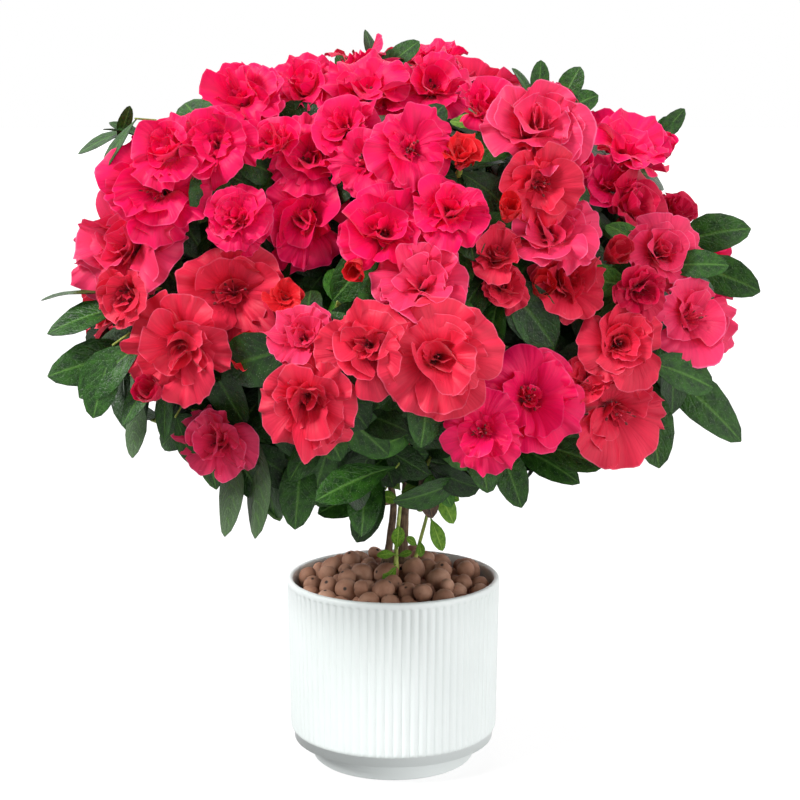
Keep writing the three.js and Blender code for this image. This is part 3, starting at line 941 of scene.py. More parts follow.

# %% [markdown]
# ## The colour of petals
#
# The flowers on one plant run from blue-pink to orange-red with their age, so each flower takes one of
# five plain colours. Within a petal the colour has a place too: deepest in the throat, where painted shade
# deepens the petal's own colour, clear in the middle, and paler along the very edge as a painted highlight,
# with faint veins fanning out. Each petal carries its own map, across and along the sheet, and all of them
# share it. A share of light passes through the sheet, which makes shaded petals glow.

# %% Petal colours
# throat, where painted shade deepens the petal's own colour; middle; and edge, a painted highlight
PETAL_SHADES = {
    "cerise": (colour(160, 0, 50), colour(250, 10, 98), colour(255, 84, 148)),
    "crimson": (colour(115, 0, 32), colour(216, 10, 70), colour(240, 66, 116)),
    "coral": (colour(160, 4, 28), colour(236, 44, 78), colour(252, 104, 138)),
    "rose": (colour(170, 8, 48), colour(246, 56, 108), colour(255, 124, 172)),
    "scarlet": (colour(160, 2, 12), colour(232, 24, 40), colour(250, 80, 92)),
}
THROUGH_LIGHT = 0.24
VEIN_SHADE = (0.6, 0.5, 0.5, 1)


def tile_place(tree):
    """The sheet's own map as a vector, and its two parts: across and along."""
    tile = node(tree, "ShaderNodeUVMap", uv_map=TILE).outputs[0]
    return tile, *node(tree, "ShaderNodeSeparateXYZ", {0: tile}).outputs[:2]


def drawn_out(tree, across, along, times):
    """A place on the map, packed closer across, so a noise over it runs in lines along the sheet."""
    return node(tree, "ShaderNodeCombineXYZ", {0: calc(tree, "MULTIPLY", across, times), 1: along}).outputs[0]


def petal_finish(name, throat_and_shade, middle, edge):
    """One petal colour along its own map: painted throat shade, middle, painted edge highlight, fanning
    veins.
    """
    sheen = {"Sheen_Weight": 0.14, "Sheen_Roughness": 0.35, "Specular_IOR_Level": 0.25}
    material, tree, shader = finish(name, 0.5, **sheen)
    tile, across, along = tile_place(tree)
    # The tones drift by a soft noise, which fades towards the margin.
    unevenness = calc(tree, "SUBTRACT", noise(tree, tile, 5.0, 3.0), 0.5)
    fading = calc(tree, "SUBTRACT", 0.5, calc(tree, "MULTIPLY", along, 0.48))
    place = calc(tree, "ADD", along, calc(tree, "MULTIPLY", unevenness, fading))
    # The dark throat stop is the petal's own deeper colour with painted shade, and the pale edge stop is a
    # painted highlight.
    tone = ramp(tree, place, [(0.05, throat_and_shade), (0.42, middle), (0.968, middle), (0.995, edge)])
    vein = noise(tree, drawn_out(tree, across, along, 30.0), 1.0, 2.0)
    depth = ramp(tree, vein, [(0.40, VEIN_SHADE), (0.62, WHITE)])
    veined = blend(tree, 0.22, tone, depth, blend_type="MULTIPLY")
    crinkle = noise(tree, drawn_out(tree, across, along, 11.0), 1.6, 4.0)
    relief = calc(tree, "ADD", crinkle, calc(tree, "MULTIPLY", vein, 0.25))
    cover(tree, shader, veined, relief, 0.55, 1.2 * MM)
    glow = node(tree, "ShaderNodeBsdfTranslucent", {"Color": veined}).outputs[0]
    both = node(tree, "ShaderNodeMixShader", {0: THROUGH_LIGHT, 1: shader.outputs[0], 2: glow}).outputs[0]
    tree.links.new(both, tree.nodes["Material Output"].inputs["Surface"])
    return material


petal_uv = sheet_map(column[0] * 0.49 + 0.5, row[0])
for shade, tones in PETAL_SHADES.items():
    material = petal_finish("petal_" + shade, *tones)
    for side_name, group in (("front", flowers[:front_count]), ("back", flowers[front_count:])):
        chosen = [f for f in group if f["shade"] == shade]
        points = petal_points(chosen, petal_draw)
        petals = mesh_piece(
            f"petals_{shade}_{side_name}",
            points.reshape(-1, 3),
            sheet_faces(len(points), PETAL_ROWS, PETAL_COLUMNS)[:, ::-1],
            [material],
            np.tile(petal_uv, (len(points), 1)),
        )
        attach(petals, "root")
        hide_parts(*mass_names)
        print(petals.name, len(chosen), "flowers,", 2 * len(petals.data.polygons), "triangles")

# %% [markdown]
# ## Where the leaves are
#
# An azalea's leaves stand in whorls round the tip of each shoot. A shoot either ends in a flower, with
# its leaves just behind, or only in leaves round a small green bud. Leafy shoots fill the gaps between
# the flowers, the skirt of the crown and its dark inside. A few leaves that stand out of the outline have
# places of their own, given by where the tip is and which way it points, and each has a twig of its own.

# %% Leafy shoots
SURFACE_SHOOTS = 240
INNER_SHOOTS = 80
SHOOT_APART = 21 * MM
INNER_APART = 1.15
SHOOT_DRAWS = 6000
BEHIND_FLOWER = 4 * MM
FLOWER_RADIUS = 0.34
FLOWER_CLEARING = 3 * MM
BARE_STEM_RADIUS = 45 * MM
STEM_TOP = crown_low[2] + 12 * MM
SKIRT_TOP = crown_foot + 0.42 * crown_rise
shoot_draw = np.random.default_rng(SEED + 3)
shoots = []
for flower in flowers:
    if flower["form"] != "bud":
        shoots.append({"place": flower["root"] - flower["facing"] * BEHIND_FLOWER, "axis": flower["facing"],
                       "count": int(shoot_draw.integers(5, 8)), "size": shoot_draw.uniform(0.85, 1.1),
                       "mass": flower["mass"], "kind": "flowering"})
flower_spots = np.array([f["spot"] for f in flowers])
flower_radii = np.array([f["width"] for f in flowers]) * FLOWER_RADIUS
leafy = []
for _ in range(SHOOT_DRAWS):
    way = unit(shoot_draw.normal(0, 1, 3) * np.array([1, 1, 0.9]))
    lean = shoot_draw.normal(0, 0.25, 3)
    deep = shoot_draw.uniform(0.0, 1.0)
    size = shoot_draw.uniform(0.8, 1.18)
    count = int(shoot_draw.integers(6, 9))
    found = from_heart(way)
    inner = len(leafy) >= SURFACE_SHOOTS
    if found is None or len(leafy) >= SURFACE_SHOOTS + INNER_SHOOTS:
        continue
    spot, mass = found
    if spot[2] < STEM_TOP and np.hypot(spot[0], spot[1]) < BARE_STEM_RADIUS:
        continue
    skirt = np.clip((SKIRT_TOP - spot[2]) / (SKIRT_TOP - crown_low[2]), 0, 1)
    # The inner ones stand deep, the others just inside the crown, and nearer to its surface in the skirt.
    depth = (44 + 26 * deep) * MM if inner else (28 - 12 * skirt + 12 * deep) * MM
    place = spot - way * depth
    if not inner and (np.linalg.norm(flower_spots - spot, axis=1) - flower_radii).min() < FLOWER_CLEARING:
        continue
    apart = SHOOT_APART * (INNER_APART if inner else 1)
    if leafy and min(np.linalg.norm(place - other) for other in leafy) < apart:
        continue
    leafy.append(place)
    axis = unit(way + lean + np.array([0, 0, 0.45]))
    shoots.append({"place": place, "axis": axis, "count": count, "size": size, "mass": mass, "kind": "leafy"})
print(len(shoots), "shoots,", len(leafy), "of them leafy only")

# %% Leaves of the outline
# tip across, tip up, and the way it points: aside, upwards and towards the front; its length in mm, and
# half its width as a share of that, below zero where its underside shows
LEAST_BREADTH = 0.21
OUTLINE_LEAVES = [
    (-0.90, 0.80, -0.9, -0.2, 0.2, 34, 0.17), (-0.84, 0.76, -0.5, -0.6, 0.4, 30, 0.16),
    (-0.80, 0.85, -0.7, 0.5, 0.0, 24, 0.16), (-1.01, 0.52, -1.0, 0.1, 0.0, 34, 0.12),
    (-1.00, 0.46, -1.0, -0.1, 0.2, 44, 0.20), (-0.99, 0.38, -0.9, 0.05, 0.5, 52, 0.23),
    (-0.92, 0.32, -0.8, -0.5, 0.2, 40, 0.25), (-0.88, 0.27, -0.3, -0.9, 0.3, 34, 0.24),
    (-0.80, 0.26, -0.6, -0.7, 0.4, 32, 0.20), (-0.74, 0.19, 0.15, -1.0, 0.3, 38, -0.12),
    (-0.69, 0.22, -0.15, -1.0, 0.3, 30, 0.15), (-0.60, 0.17, 0.3, -0.8, 0.3, 24, 0.20),
    (-0.49, 0.03, 0.0, -1.0, 0.3, 42, -0.18), (-0.39, 0.04, 0.15, -1.0, 0.2, 52, -0.12),
    (-0.31, 0.05, -0.1, -0.9, 0.5, 40, 0.24), (-0.12, 0.04, -0.1, -0.8, 0.6, 42, 0.22),
    (-0.24, 0.12, -0.9, -0.1, 0.6, 44, 0.22), (0.24, 0.12, 0.2, -0.9, 0.5, 30, 0.25),
    (0.34, 0.09, 0.4, -0.9, 0.4, 36, 0.24), (0.50, 0.15, 0.9, -0.3, 0.4, 42, 0.22),
    (0.56, 0.18, 0.9, -0.1, 0.4, 38, 0.22), (0.73, 0.18, 0.2, -0.9, 0.4, 46, 0.24),
    (0.96, 0.25, 0.8, -0.5, 0.4, 56, 0.22), (0.99, 0.54, 0.9, -0.1, 0.5, 48, 0.24),
    (0.95, 0.66, 0.9, 0.45, 0.5, 48, 0.24), (0.90, 0.58, 0.9, 0.2, 0.3, 36, 0.22),
    (0.78, 0.865, 0.7, 0.7, 0.0, 28, 0.12), (0.73, 0.855, 0.3, 0.9, 0.0, 26, 0.20),
    (0.31, 0.95, -0.4, 0.9, 0.1, 26, 0.14), (0.38, 0.96, 0.1, 0.9, 0.1, 26, 0.20),
    (0.48, 0.95, 0.4, 0.9, 0.1, 28, 0.24), (0.53, 0.90, 0.8, 0.5, 0.1, 28, 0.26),
    (0.50, 0.86, 0.9, 0.1, 0.1, 26, 0.24), (-0.09, 1.02, -0.1, 1.0, 0.0, 26, 0.12),
    (-0.18, 0.97, -0.5, 0.9, 0.0, 22, 0.22), (0.04, 1.0, 0.7, 0.7, 0.0, 26, 0.24),
    (-0.02, 0.98, 0.4, 0.9, 0.0, 24, 0.16), (0.20, 0.90, 0.4, -0.1, 0.3, 26, 0.24),
    (0.88, 0.34, 0.9, -0.2, 0.0, 40, 0.24), (-0.52, 0.92, -0.7, 0.6, 0.0, 22, 0.22),
    (-0.82, 0.84, -0.9, 0.4, 0.0, 26, 0.12), (-0.74, 0.87, 0.4, 0.9, 0.0, 22, 0.12),
]

# %% [markdown]
# ## Leaves
#
# An azalea leaf is 35 to 50 mm long and less than half as wide, dark, leathery and softly hairy, widest
# past its middle, with a short point, a grooved midrib and side veins that loop together before the
# margin. Each is two sheets a third of a millimetre apart, the upper one with a folded midrib and margins
# that turn down a little, so its duller underside can have a colour of its own. Like the petals, all
# leaves bend in one go.

# %% Bend every leaf at once
LEAF_ROWS = np.array([0.0, 0.10, 0.24, 0.40, 0.56, 0.71, 0.84, 0.94, 1.0])
LEAF_GAP = 0.3 * MM
LEAF_DROOP = 2.5


def leaf_outline(along, shape):
    """Half the width of a leaf as a share of its widest half, narrow in the stalk and pointed at the tip."""
    body = np.sin(np.pi * np.clip(along, 0, 1) ** shape) ** (1.05 - 0.5 * along)
    return np.maximum(body, 0.07 - 0.04 * along)


def bend_leaves(rows, columns, lower):
    """Points [leaf, row, column, 3]: across, out of the upper face, and along the leaf."""
    k = by_name(rows)
    along = LEAF_ROWS[None, :, None]
    across = np.linspace(-1, 1, columns)[None, None, :]
    half = k["length"] * k["breadth"] * leaf_outline(along, k["shape"])
    side = half * across
    step = np.diff(along * k["length"], axis=1, prepend=0)
    angle = k["bend"] * along**1.3
    edge = np.abs(across)
    rise = k["fold"] * half * (edge - 0.55 * edge**2.5)
    rise = rise + k["wavy"] * half * edge**2 * np.sin(k["waves"] * along + k["phase"] + across)
    rise = rise + k["tilt"] * side * along - lower
    height = rise * np.cos(angle) - np.cumsum(step * np.sin(angle), axis=1)
    ahead = np.cumsum(step * np.cos(angle), axis=1) + rise * np.sin(angle)
    return np.stack([side * np.cos(k["twist"] * along), height, ahead], -1)


def leaf_sheets(chosen, columns, lower):
    """The placed points of one sheet of each leaf."""
    bent = bend_leaves([leaf["numbers"] for leaf in chosen], columns, lower)
    way, top, feet = (np.array([leaf[name] for leaf in chosen]) for name in ("way", "top", "place"))
    return put_in_place(bent, turned_axes(way, np.cross(top, way)), LEAF_DROOP, feet)


# %% Give every shoot its leaves
# Leaves follow each other round a shoot by the golden angle. Young ones are small, and the stem's skirt
# hangs.
GOLDEN_ANGLE = 2.39996
LONGEST_LEAF = 49
AGE_ODDS = {"old": 0.47, "full": 0.39, "fresh": 0.11, "young": 0.03}
SIZE_OF_AGE = {"young": 0.55, "fresh": 0.82}
# Where the depth of a leaf of the outline is looked up: this share of its way out from this height.
TOWARDS_HEART = 0.88
HEART_UP = 0.45
SPREADS_OF_KIND = {"flowering": (104, 82), "leafy": (98, 66)}
leaf_draw = np.random.default_rng(SEED + 4)
leaves = []
lone_shoots = []


def add_leaf(place, way, top, length, age, shoot=None, **fixed):
    """Keeps one leaf's numbers: its foot, the way it points, the way its upper face looks, and its shape."""
    draw = leaf_draw
    way = unit(way)
    top = unit(top - (top @ way) * way)
    numbers = {
        "length": length, "breadth": draw.uniform(0.225, 0.29), "shape": draw.uniform(1.15, 1.45),
        "bend": draw.uniform(0.1, 0.9), "fold": draw.uniform(0.1, 0.5), "wavy": draw.uniform(0.0, 0.16),
        "waves": draw.uniform(5, 9), "phase": draw.uniform(0, 6.3), "tilt": draw.normal(0, 0.15),
        "twist": draw.normal(0, 0.2),
    }
    numbers.update(fixed)
    leaves.append({"numbers": numbers, "place": place, "way": way, "top": top, "age": age, "shoot": shoot})


def whorl(shoot_number, shoot, age, hang):
    """The leaves round a shoot's tip: the outer ones long and spread, the inner ones short and upright."""
    place, axis, count = shoot["place"], shoot["axis"], shoot["count"]
    size = shoot["size"] * SIZE_OF_AGE.get(age, 1.0)
    widest, narrowest = SPREADS_OF_KIND[shoot["kind"]]
    first = leaf_draw.uniform(0, FULL_TURN)
    axes = turned_axes(axis[None], leaf_draw.normal(0, 1, (1, 3)))[0]
    for number in range(count):
        share = number / max(count - 1, 1)
        turn = first + number * GOLDEN_ANGLE
        spread = math.radians(widest + (narrowest - widest) * share + leaf_draw.normal(0, 8))
        around = axes[0] * math.cos(turn) + axes[1] * math.sin(turn)
        way = unit(around * math.sin(spread) + axis * math.cos(spread) + np.array([0, 0, -hang]))
        length = min(size * (46 - 15 * share) * leaf_draw.uniform(0.86, 1.14), LONGEST_LEAF) * MM
        top = axis + leaf_draw.normal(0, 0.22, 3)
        if (top - (top @ way) * way) @ (place - CROWN_HEART) < 0:
            top = -top
        add_leaf(place - axis * (1 - share) * 5 * MM, way, top, length, age, shoot_number)


def lone_shoot(foot, way):
    """Asks for a twig of its own to the foot of one leaf, from the nearest bough."""
    nearest = crown_tree.find_nearest(Vector(foot))
    axis = unit(way + 1.5 * unit(foot - CROWN_HEART))
    lone_shoots.append({"place": foot, "axis": axis, "mass": face_mass[nearest[2]], "kind": "lone"})


for shoot_number, shoot in enumerate(shoots):
    low = np.clip((HIGH_SIDE - shoot["place"][2]) / (HIGH_SIDE - crown_low[2]), 0, 1)
    whorl(shoot_number, shoot, pick(leaf_draw, AGE_ODDS), 0.1 + 0.4 * low)
for across, up, aside, upwards, frontwards, length, breadth in OUTLINE_LEAVES:
    way = unit(np.array([aside, -frontwards, upwards]))
    # The crown a little further in says how deep the tip is: a low one stands before it, a high one behind.
    found = seen_at(across * TOWARDS_HEART, HEART_UP + (up - HEART_UP) * TOWARDS_HEART)
    deep = min(found[0][1] - 4 * MM, 0) if up < 0.8 else 0.25 * found[0][1]
    aim = np.array([crown_middle[0] + across * half_width, 0, crown_foot + up * crown_rise])
    tip = eye + (aim - eye) * ((deep - eye[1]) / -eye[1])
    # A narrow one is a broad one turned aside.
    real = max(abs(breadth), LEAST_BREADTH)
    aside_turn = math.acos(abs(breadth) / real)
    top = unit(np.array([0, -1, 0.6]) * np.sign(breadth))
    top = top * math.cos(aside_turn) + np.cross(way, top) * math.sin(aside_turn)
    foot = tip - way * length * MM
    add_leaf(foot, way, top, length * MM, "full", bend=0.25, breadth=real)
    lone_shoot(foot, way)
print(len(leaves), "leaves")

# %% Young leaves on the low shoots
# foot of the leaf in mm, the way it points: aside, upwards and frontwards, its length in mm, and its age;
# those further forward than the low shoots have twigs of their own
FRONT_OF_SHOOTS = -12
SHOOT_LEAVES = [
    ((1.5, -8.0, 119), (-0.9, 0.1, 0.3), 11, "young"), ((2.0, -8.5, 122), (0.1, 1.0, 0.4), 15, "young"),
    ((2.5, -8.5, 118), (0.8, 0.4, 0.4), 9, "young"), ((1.6, -7.5, 113), (-0.8, -0.4, 0.4), 11, "young"),
    ((4.0, -10.0, 150), (-0.7, 0.4, 0.5), 14, "young"), ((4.6, -10.5, 155), (0.7, 0.5, 0.5), 24, "young"),
    ((5.0, -11.0, 160), (0.2, 1.0, 0.4), 16, "young"), ((4.0, -10.0, 156), (-0.4, 0.8, 0.5), 14, "young"),
    ((21.0, -4.5, 139), (0.4, -0.9, 0.3), 19, "young"), ((23.0, -5.5, 158), (0.5, -0.8, 0.3), 23, "young"),
    ((23.0, -5.5, 155), (0.9, -0.2, 0.3), 15, "young"), ((21.0, -30.0, 173), (0.5, -0.8, 0.3), 23, "fresh"),
    ((20.0, -30.0, 170), (-0.1, -1.0, 0.3), 14, "fresh"),
    ((22.0, -30.0, 171), (0.95, -0.5, 0.3), 20, "fresh"),
    ((2.0, -9.0, 112), (-0.6, -0.5, 0.6), 12, "young"), ((22.0, -5.0, 150), (-0.7, -0.4, 0.4), 11, "young"),
    ((15.0, -1.0, 125), (0.1, -0.9, 0.4), 9, "young"), ((13.5, -0.5, 122), (-0.5, 0.6, 0.4), 9, "young"),
    ((-4.0, -14.0, 158), (-0.9, -0.1, 0.4), 40, "full"), ((-4.0, -14.0, 166), (-0.45, -0.85, 0.4), 38, "old"),
    ((14.0, -30.0, 171), (0.35, -0.95, 0.1), 26, "dry"), ((3.0, -14.0, 163), (0.9, 0.25, 0.3), 26, "full"),
    ((3.0, -14.0, 163), (0.3, 0.9, 0.3), 20, "full"), ((2.0, -14.0, 164), (-0.5, 0.6, 0.4), 12, "young"),
]
for foot, (aside, upwards, frontwards), length, age in SHOOT_LEAVES:
    way = unit(np.array([aside, -frontwards, upwards]))
    add_leaf(np.array(foot) * MM, way, np.array([0.1, -0.8, 0.6]), length * MM, age, bend=0.3)
    if foot[1] < FRONT_OF_SHOOTS:
        lone_shoot(np.array(foot) * MM, way)
print(len(SHOOT_LEAVES), "leaves on the low shoots")

# %% Leaf colours
# dark and light green, midrib, and underside
LEAF_AGES = {
    "old": (colour(9, 32, 5), colour(28, 62, 14), colour(68, 108, 44), colour(52, 74, 46)),
    "full": (colour(16, 48, 8), colour(42, 86, 20), colour(90, 136, 58), colour(66, 90, 56)),
    "fresh": (colour(34, 82, 12), colour(66, 122, 32), colour(110, 158, 66), colour(88, 118, 70)),
    "young": (colour(70, 116, 22), colour(112, 156, 40), colour(164, 196, 84), colour(140, 172, 84)),
    "dry": (colour(34, 22, 16), colour(86, 60, 44), colour(112, 86, 66), colour(96, 74, 56)),
}
HAIRS = colour(150, 168, 140)


def leaf_finish(name, dark, light, rib, under):
    """Leather green with a pale midrib and looping side veins above, and a duller green below."""
    material, tree, shader = finish(name, 0.44, Specular_IOR_Level=0.22)
    tile, u, along = tile_place(tree)
    edge = calc(tree, "SUBTRACT", 1, calc(tree, "PINGPONG", calc(tree, "MULTIPLY", u, 4), 1))
    rib_line = ramp(tree, edge, [(0.03, WHITE), (0.10, BLACK)])
    # The side veins leave the midrib at a slant, bend forwards, and fade before the margin.
    arc = calc(tree, "POWER", edge, 1.5)
    slant = calc(tree, "SUBTRACT", calc(tree, "MULTIPLY", along, 8), calc(tree, "MULTIPLY", arc, 2.2))
    slant = calc(tree, "ADD", slant, calc(tree, "MULTIPLY", noise(tree, tile, 7.0, 1.0), 0.9))
    vein = ramp(tree, calc(tree, "PINGPONG", slant, 0.5), [(0.0, WHITE), (0.16, BLACK)])
    vein = calc(tree, "MULTIPLY", vein, ramp(tree, edge, [(0.55, WHITE), (0.95, BLACK)]))
    cloud = noise(tree, tile, 9.0, 5.0)
    green = ramp(tree, cloud, [(0.35, dark), (0.68, light)])
    above = blend(tree, calc(tree, "MULTIPLY", rib_line, 0.55), green, rib)
    above = blend(tree, calc(tree, "MULTIPLY", vein, 0.13), above, rib)
    below = blend(tree, calc(tree, "MULTIPLY", vein, 0.4), under, rib)
    both = blend(tree, calc(tree, "GREATER_THAN", u, 0.5), above, below)
    # Short pale hairs dot both faces.
    dots = node(tree, "ShaderNodeTexVoronoi", {"Vector": tile, "Scale": 46.0}).outputs["Distance"]
    hair = ramp(tree, dots, [(0.10, WHITE), (0.24, BLACK)])
    hairy = blend(tree, calc(tree, "MULTIPLY", hair, 0.30), both, HAIRS)
    net = node(tree, "ShaderNodeTexVoronoi", {"Vector": tile, "Scale": 20.0}, feature="DISTANCE_TO_EDGE")
    quilt = calc(tree, "MULTIPLY", calc(tree, "MINIMUM", net.outputs["Distance"], 0.3), 2.4)
    groove = calc(tree, "ADD", calc(tree, "MULTIPLY", rib_line, -1), calc(tree, "MULTIPLY", vein, -0.7))
    relief = calc(tree, "ADD", groove, calc(tree, "ADD", calc(tree, "MULTIPLY", cloud, 0.6), quilt))
    cover(tree, shader, hairy, relief, 0.42, 0.5 * MM)
    return material


print(len(LEAF_AGES), "ages of leaf")

# %% Trim what stands out
# A leaf whose tip would be well outside the crown is left off, and so is one that would stand in the face
# of a flower. Room is kept round the stems, and in the low gaps beside them and under the left flank. The
# few leaves with places of their own stay. A leafy shoot that keeps too few leaves, or whose bud would
# show, goes as a whole.
LEAF_OVERHANG = 11 * MM
LOW_OVERHANG = 3 * MM
STEM_CLEARING = 58 * MM
STEM_PLACE = np.array([24, -12]) * MM
# lowest and highest across, and the height up to which nothing hangs there
LOW_GAPS = [(0.0, 0.20, 0.125), (-9, -0.42, 0.11)]
FACE_DEPTH = 60 * MM
FACE_RADIUS = 0.40
LEAF_AHEAD = 0.12
BUD_AHEAD = -0.05
BUD_REACH = 8
FEWEST_LEAVES = 3
flower_roots, flower_ways, flower_widths = (
    np.array([f[name] for f in flowers]) for name in ("root", "facing", "width")
)


def stands_out(tip):
    """True where a tip would be well outside the crown, or in the room that is kept."""
    if tip[2] < STEM_TOP and np.hypot(*(tip[:2] - STEM_PLACE)) < STEM_CLEARING:
        return True
    across, up = as_seen(tip)
    if any(least < across < most and up < height for least, most, height in LOW_GAPS):
        return True
    nearest, normal, _, distance = crown_tree.find_nearest(Vector(tip))
    most = LOW_OVERHANG if tip[2] < nearest.z - 1 * MM and nearest.z < SKIRT_TOP else LEAF_OVERHANG
    return distance > most and (Vector(tip) - nearest).dot(normal) > 0


def in_a_face(spots, least_ahead):
    """True for each spot before some flower's middle, at least that share of its width ahead."""
    offset = spots[:, None] - flower_roots[None]
    ahead = (offset * flower_ways).sum(-1)
    aside = np.linalg.norm(offset - ahead[..., None] * flower_ways, axis=-1)
    near = (ahead < FACE_DEPTH) & (aside < FACE_RADIUS * flower_widths)
    return (near & (ahead > least_ahead * flower_widths)).any(1)


tips = leaf_sheets(leaves, 2, 0)[:, -1].mean(1)
feet = np.array([leaf["place"] for leaf in leaves])
by_hand = np.array([leaf["shoot"] is None for leaf in leaves])
outside = np.array([stands_out(tip) for tip in tips])
in_the_way = in_a_face(tips, LEAF_AHEAD) | in_a_face(0.5 * (tips + feet), LEAF_AHEAD)
kept = by_hand | ~(outside | in_the_way)
borne_by = [leaf["shoot"] for leaf, stays in zip(leaves, kept) if stays and leaf["shoot"] is not None]
left_on = np.bincount(borne_by, minlength=len(shoots))
buds = np.array([shoot["place"] + shoot["axis"] * (BUD_REACH * MM) for shoot in shoots])
bud_shows = in_a_face(buds, BUD_AHEAD) | np.array([stands_out(bud) for bud in buds])
bare = {n for n, shoot in enumerate(shoots)
        if shoot["kind"] == "leafy" and (left_on[n] < FEWEST_LEAVES or bud_shows[n])}
leaves = [leaf for leaf, stays in zip(leaves, kept) if stays and leaf["shoot"] not in bare]
shoots = [shoot for n, shoot in enumerate(shoots) if n not in bare] + lone_shoots
print(len(leaves), "leaves kept on", len(shoots), "shoots")

# %% Make the leaves
LEAF_TOP_COLUMNS = 5
LEAF_UNDER_COLUMNS = 3


def leaf_map(columns, first):
    """The map of one sheet: half of the tile's width, from the first column's place."""
    return sheet_map((first + 0.01 + 0.48 * np.linspace(0, 1, columns))[None, :], LEAF_ROWS[:, None])


for age, tones in LEAF_AGES.items():
    chosen = [leaf for leaf in leaves if leaf["age"] == age]
    upper = leaf_sheets(chosen, LEAF_TOP_COLUMNS, 0)
    under = leaf_sheets(chosen, LEAF_UNDER_COLUMNS, LEAF_GAP)
    upper_faces = sheet_faces(len(chosen), len(LEAF_ROWS), LEAF_TOP_COLUMNS)[:, ::-1]
    under_faces = sheet_faces(len(chosen), len(LEAF_ROWS), LEAF_UNDER_COLUMNS) + upper[..., 0].size
    piece = mesh_piece(
        "leaves_" + age,
        np.vstack([upper.reshape(-1, 3), under.reshape(-1, 3)]),
        np.vstack([upper_faces, under_faces]),
        [leaf_finish("leaf_" + age, *tones)],
        np.vstack([np.tile(leaf_map(LEAF_TOP_COLUMNS, 0.0), (len(chosen), 1)),
                   np.tile(leaf_map(LEAF_UNDER_COLUMNS, 0.5), (len(chosen), 1))]),
    )
    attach(piece, "root")
    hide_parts(*mass_names)
    print(piece.name, len(chosen), "leaves,", 2 * len(piece.data.polygons), "triangles")

# %% [markdown]
# ## Stems, boughs and twigs
#
# The frame gives each limb as a plain tapering solid. Its middle line and its thickness are read off that
# solid, ring by ring. Beyond the boughs a seeded rule carries on: a twig heads for the middle of the
# shoots that it must feed, goes part of the way, and forks into two, each with half of them, until one
# shoot is left. Its thickness follows the old rule of thumb that a branch is about as thick as its two
# forks together. So every flower and every whorl of leaves hangs on wood that can be followed down to the
# pot.

# %% Read the limbs off the frame
RING_GAP = 4 * MM


def middle_line(name):
    """The middles and radii of the rings of one limb, from its lower end up."""
    points = np.array([v.co[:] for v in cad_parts[name].data.vertices])
    points = np.unique(np.round(points, 6), axis=0)
    middle = points.mean(0)
    along = (points - middle) @ np.linalg.svd(points - middle)[2][0]
    order = np.argsort(along)
    cuts = np.flatnonzero(np.diff(along[order]) > RING_GAP) + 1
    rings = [points[group] for group in np.split(order, cuts)]
    middles = np.array([ring.mean(0) for ring in rings])
    radii = np.array([np.linalg.norm(ring - ring.mean(0), axis=1).max() for ring in rings])
    if middles[0][2] > middles[-1][2]:
        middles, radii = middles[::-1], radii[::-1]
    # The point of a closed tip isn't a ring.
    full = radii > 0.5 * MM
    return middles[full], radii[full]


limb_names = sorted(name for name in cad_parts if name.startswith(("stem_", "bough_")))
limbs = {name: middle_line(name) for name in limb_names + ["shoot_front", "shoot_right"]}
stem_places = np.vstack([
    np.linspace(low, high, 20)
    for name in ("stem_left", "stem_right")
    for low, high in zip(limbs[name][0][:-1], limbs[name][0][1:])
])
for name in limb_names:
    middles, radii = limbs[name]
    if name.startswith("bough_"):
        # A bough's first ring is cut where it meets the stem, so it starts on the stem's middle line instead.
        nearest = stem_places[np.argmin(np.linalg.norm(stem_places - middles[0], axis=1))]
        middles[0], radii[0] = nearest, radii[1] * 1.1
print(len(limbs), "limbs read,", round(sum(len(m) for m, _ in limbs.values()) / len(limbs), 1), "rings each")


# %% Round wood from lines
def wood_tree(name):
    """A tree that swells lines into round wood with furrowed bark."""
    tree, entry = geometry_tree(name, {
        "Sides": ("NodeSocketInt", 8),
        "Step": ("NodeSocketFloat", 4 * MM),
        "Furrows": ("NodeSocketFloat", 0.25),
        "Furrow width": ("NodeSocketFloat", 1.4 * MM),
    })
    line = node(tree, "GeometryNodeMeshToCurve", {0: entry["Geometry"]}).outputs[0]
    line = node(tree, "GeometryNodeCurveSplineType", {"Curve": line}, spline_type="CATMULL_ROM").outputs[0]
    line = node(tree, "GeometryNodeResampleCurve", {"Curve": line, "Length": entry["Step"]}, mode="LENGTH")
    ring = node(tree, "GeometryNodeCurvePrimitiveCircle", {"Resolution": entry["Sides"], "Radius": 1.0})
    wood = node(tree, "GeometryNodeCurveToMesh", {
        "Curve": line.outputs[0],
        "Profile Curve": ring.outputs[0],
        "Scale": read(tree, "thickness"),
        "Fill Caps": True,
    }).outputs[0]
    place = node(tree, "GeometryNodeInputPosition").outputs[0]
    furrows = noise(tree, drawn_up(tree, place, 0.35), calc(tree, "DIVIDE", 1, entry["Furrow width"]), 2.0)
    depth = calc(tree, "MULTIPLY", entry["Furrows"], read(tree, "thickness"))
    close_tree(tree, roughened(tree, wood, furrows, depth))
    return tree


def line_piece(name, lines, material, sides, step, slot, *nodes):
    """One piece of round wood for many lines, each given as (points, radii)."""
    points = np.vstack([line[0] for line in lines])
    starts = np.cumsum([0] + [len(line[0]) for line in lines])
    edges = [(k, k + 1) for start, end in zip(starts[:-1], starts[1:]) for k in range(start, end - 1)]
    mesh = bpy.data.meshes.new(name)
    mesh.from_pydata(points.tolist(), edges, [])
    piece = placed(name, mesh)
    set_attribute(piece, "thickness", "FLOAT", np.concatenate([line[1] for line in lines]))
    run_tree(piece, wood_tree("wood_of_" + name), {"Material": material, "Sides": sides, "Step": step})
    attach(piece, "root")
    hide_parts(*nodes)


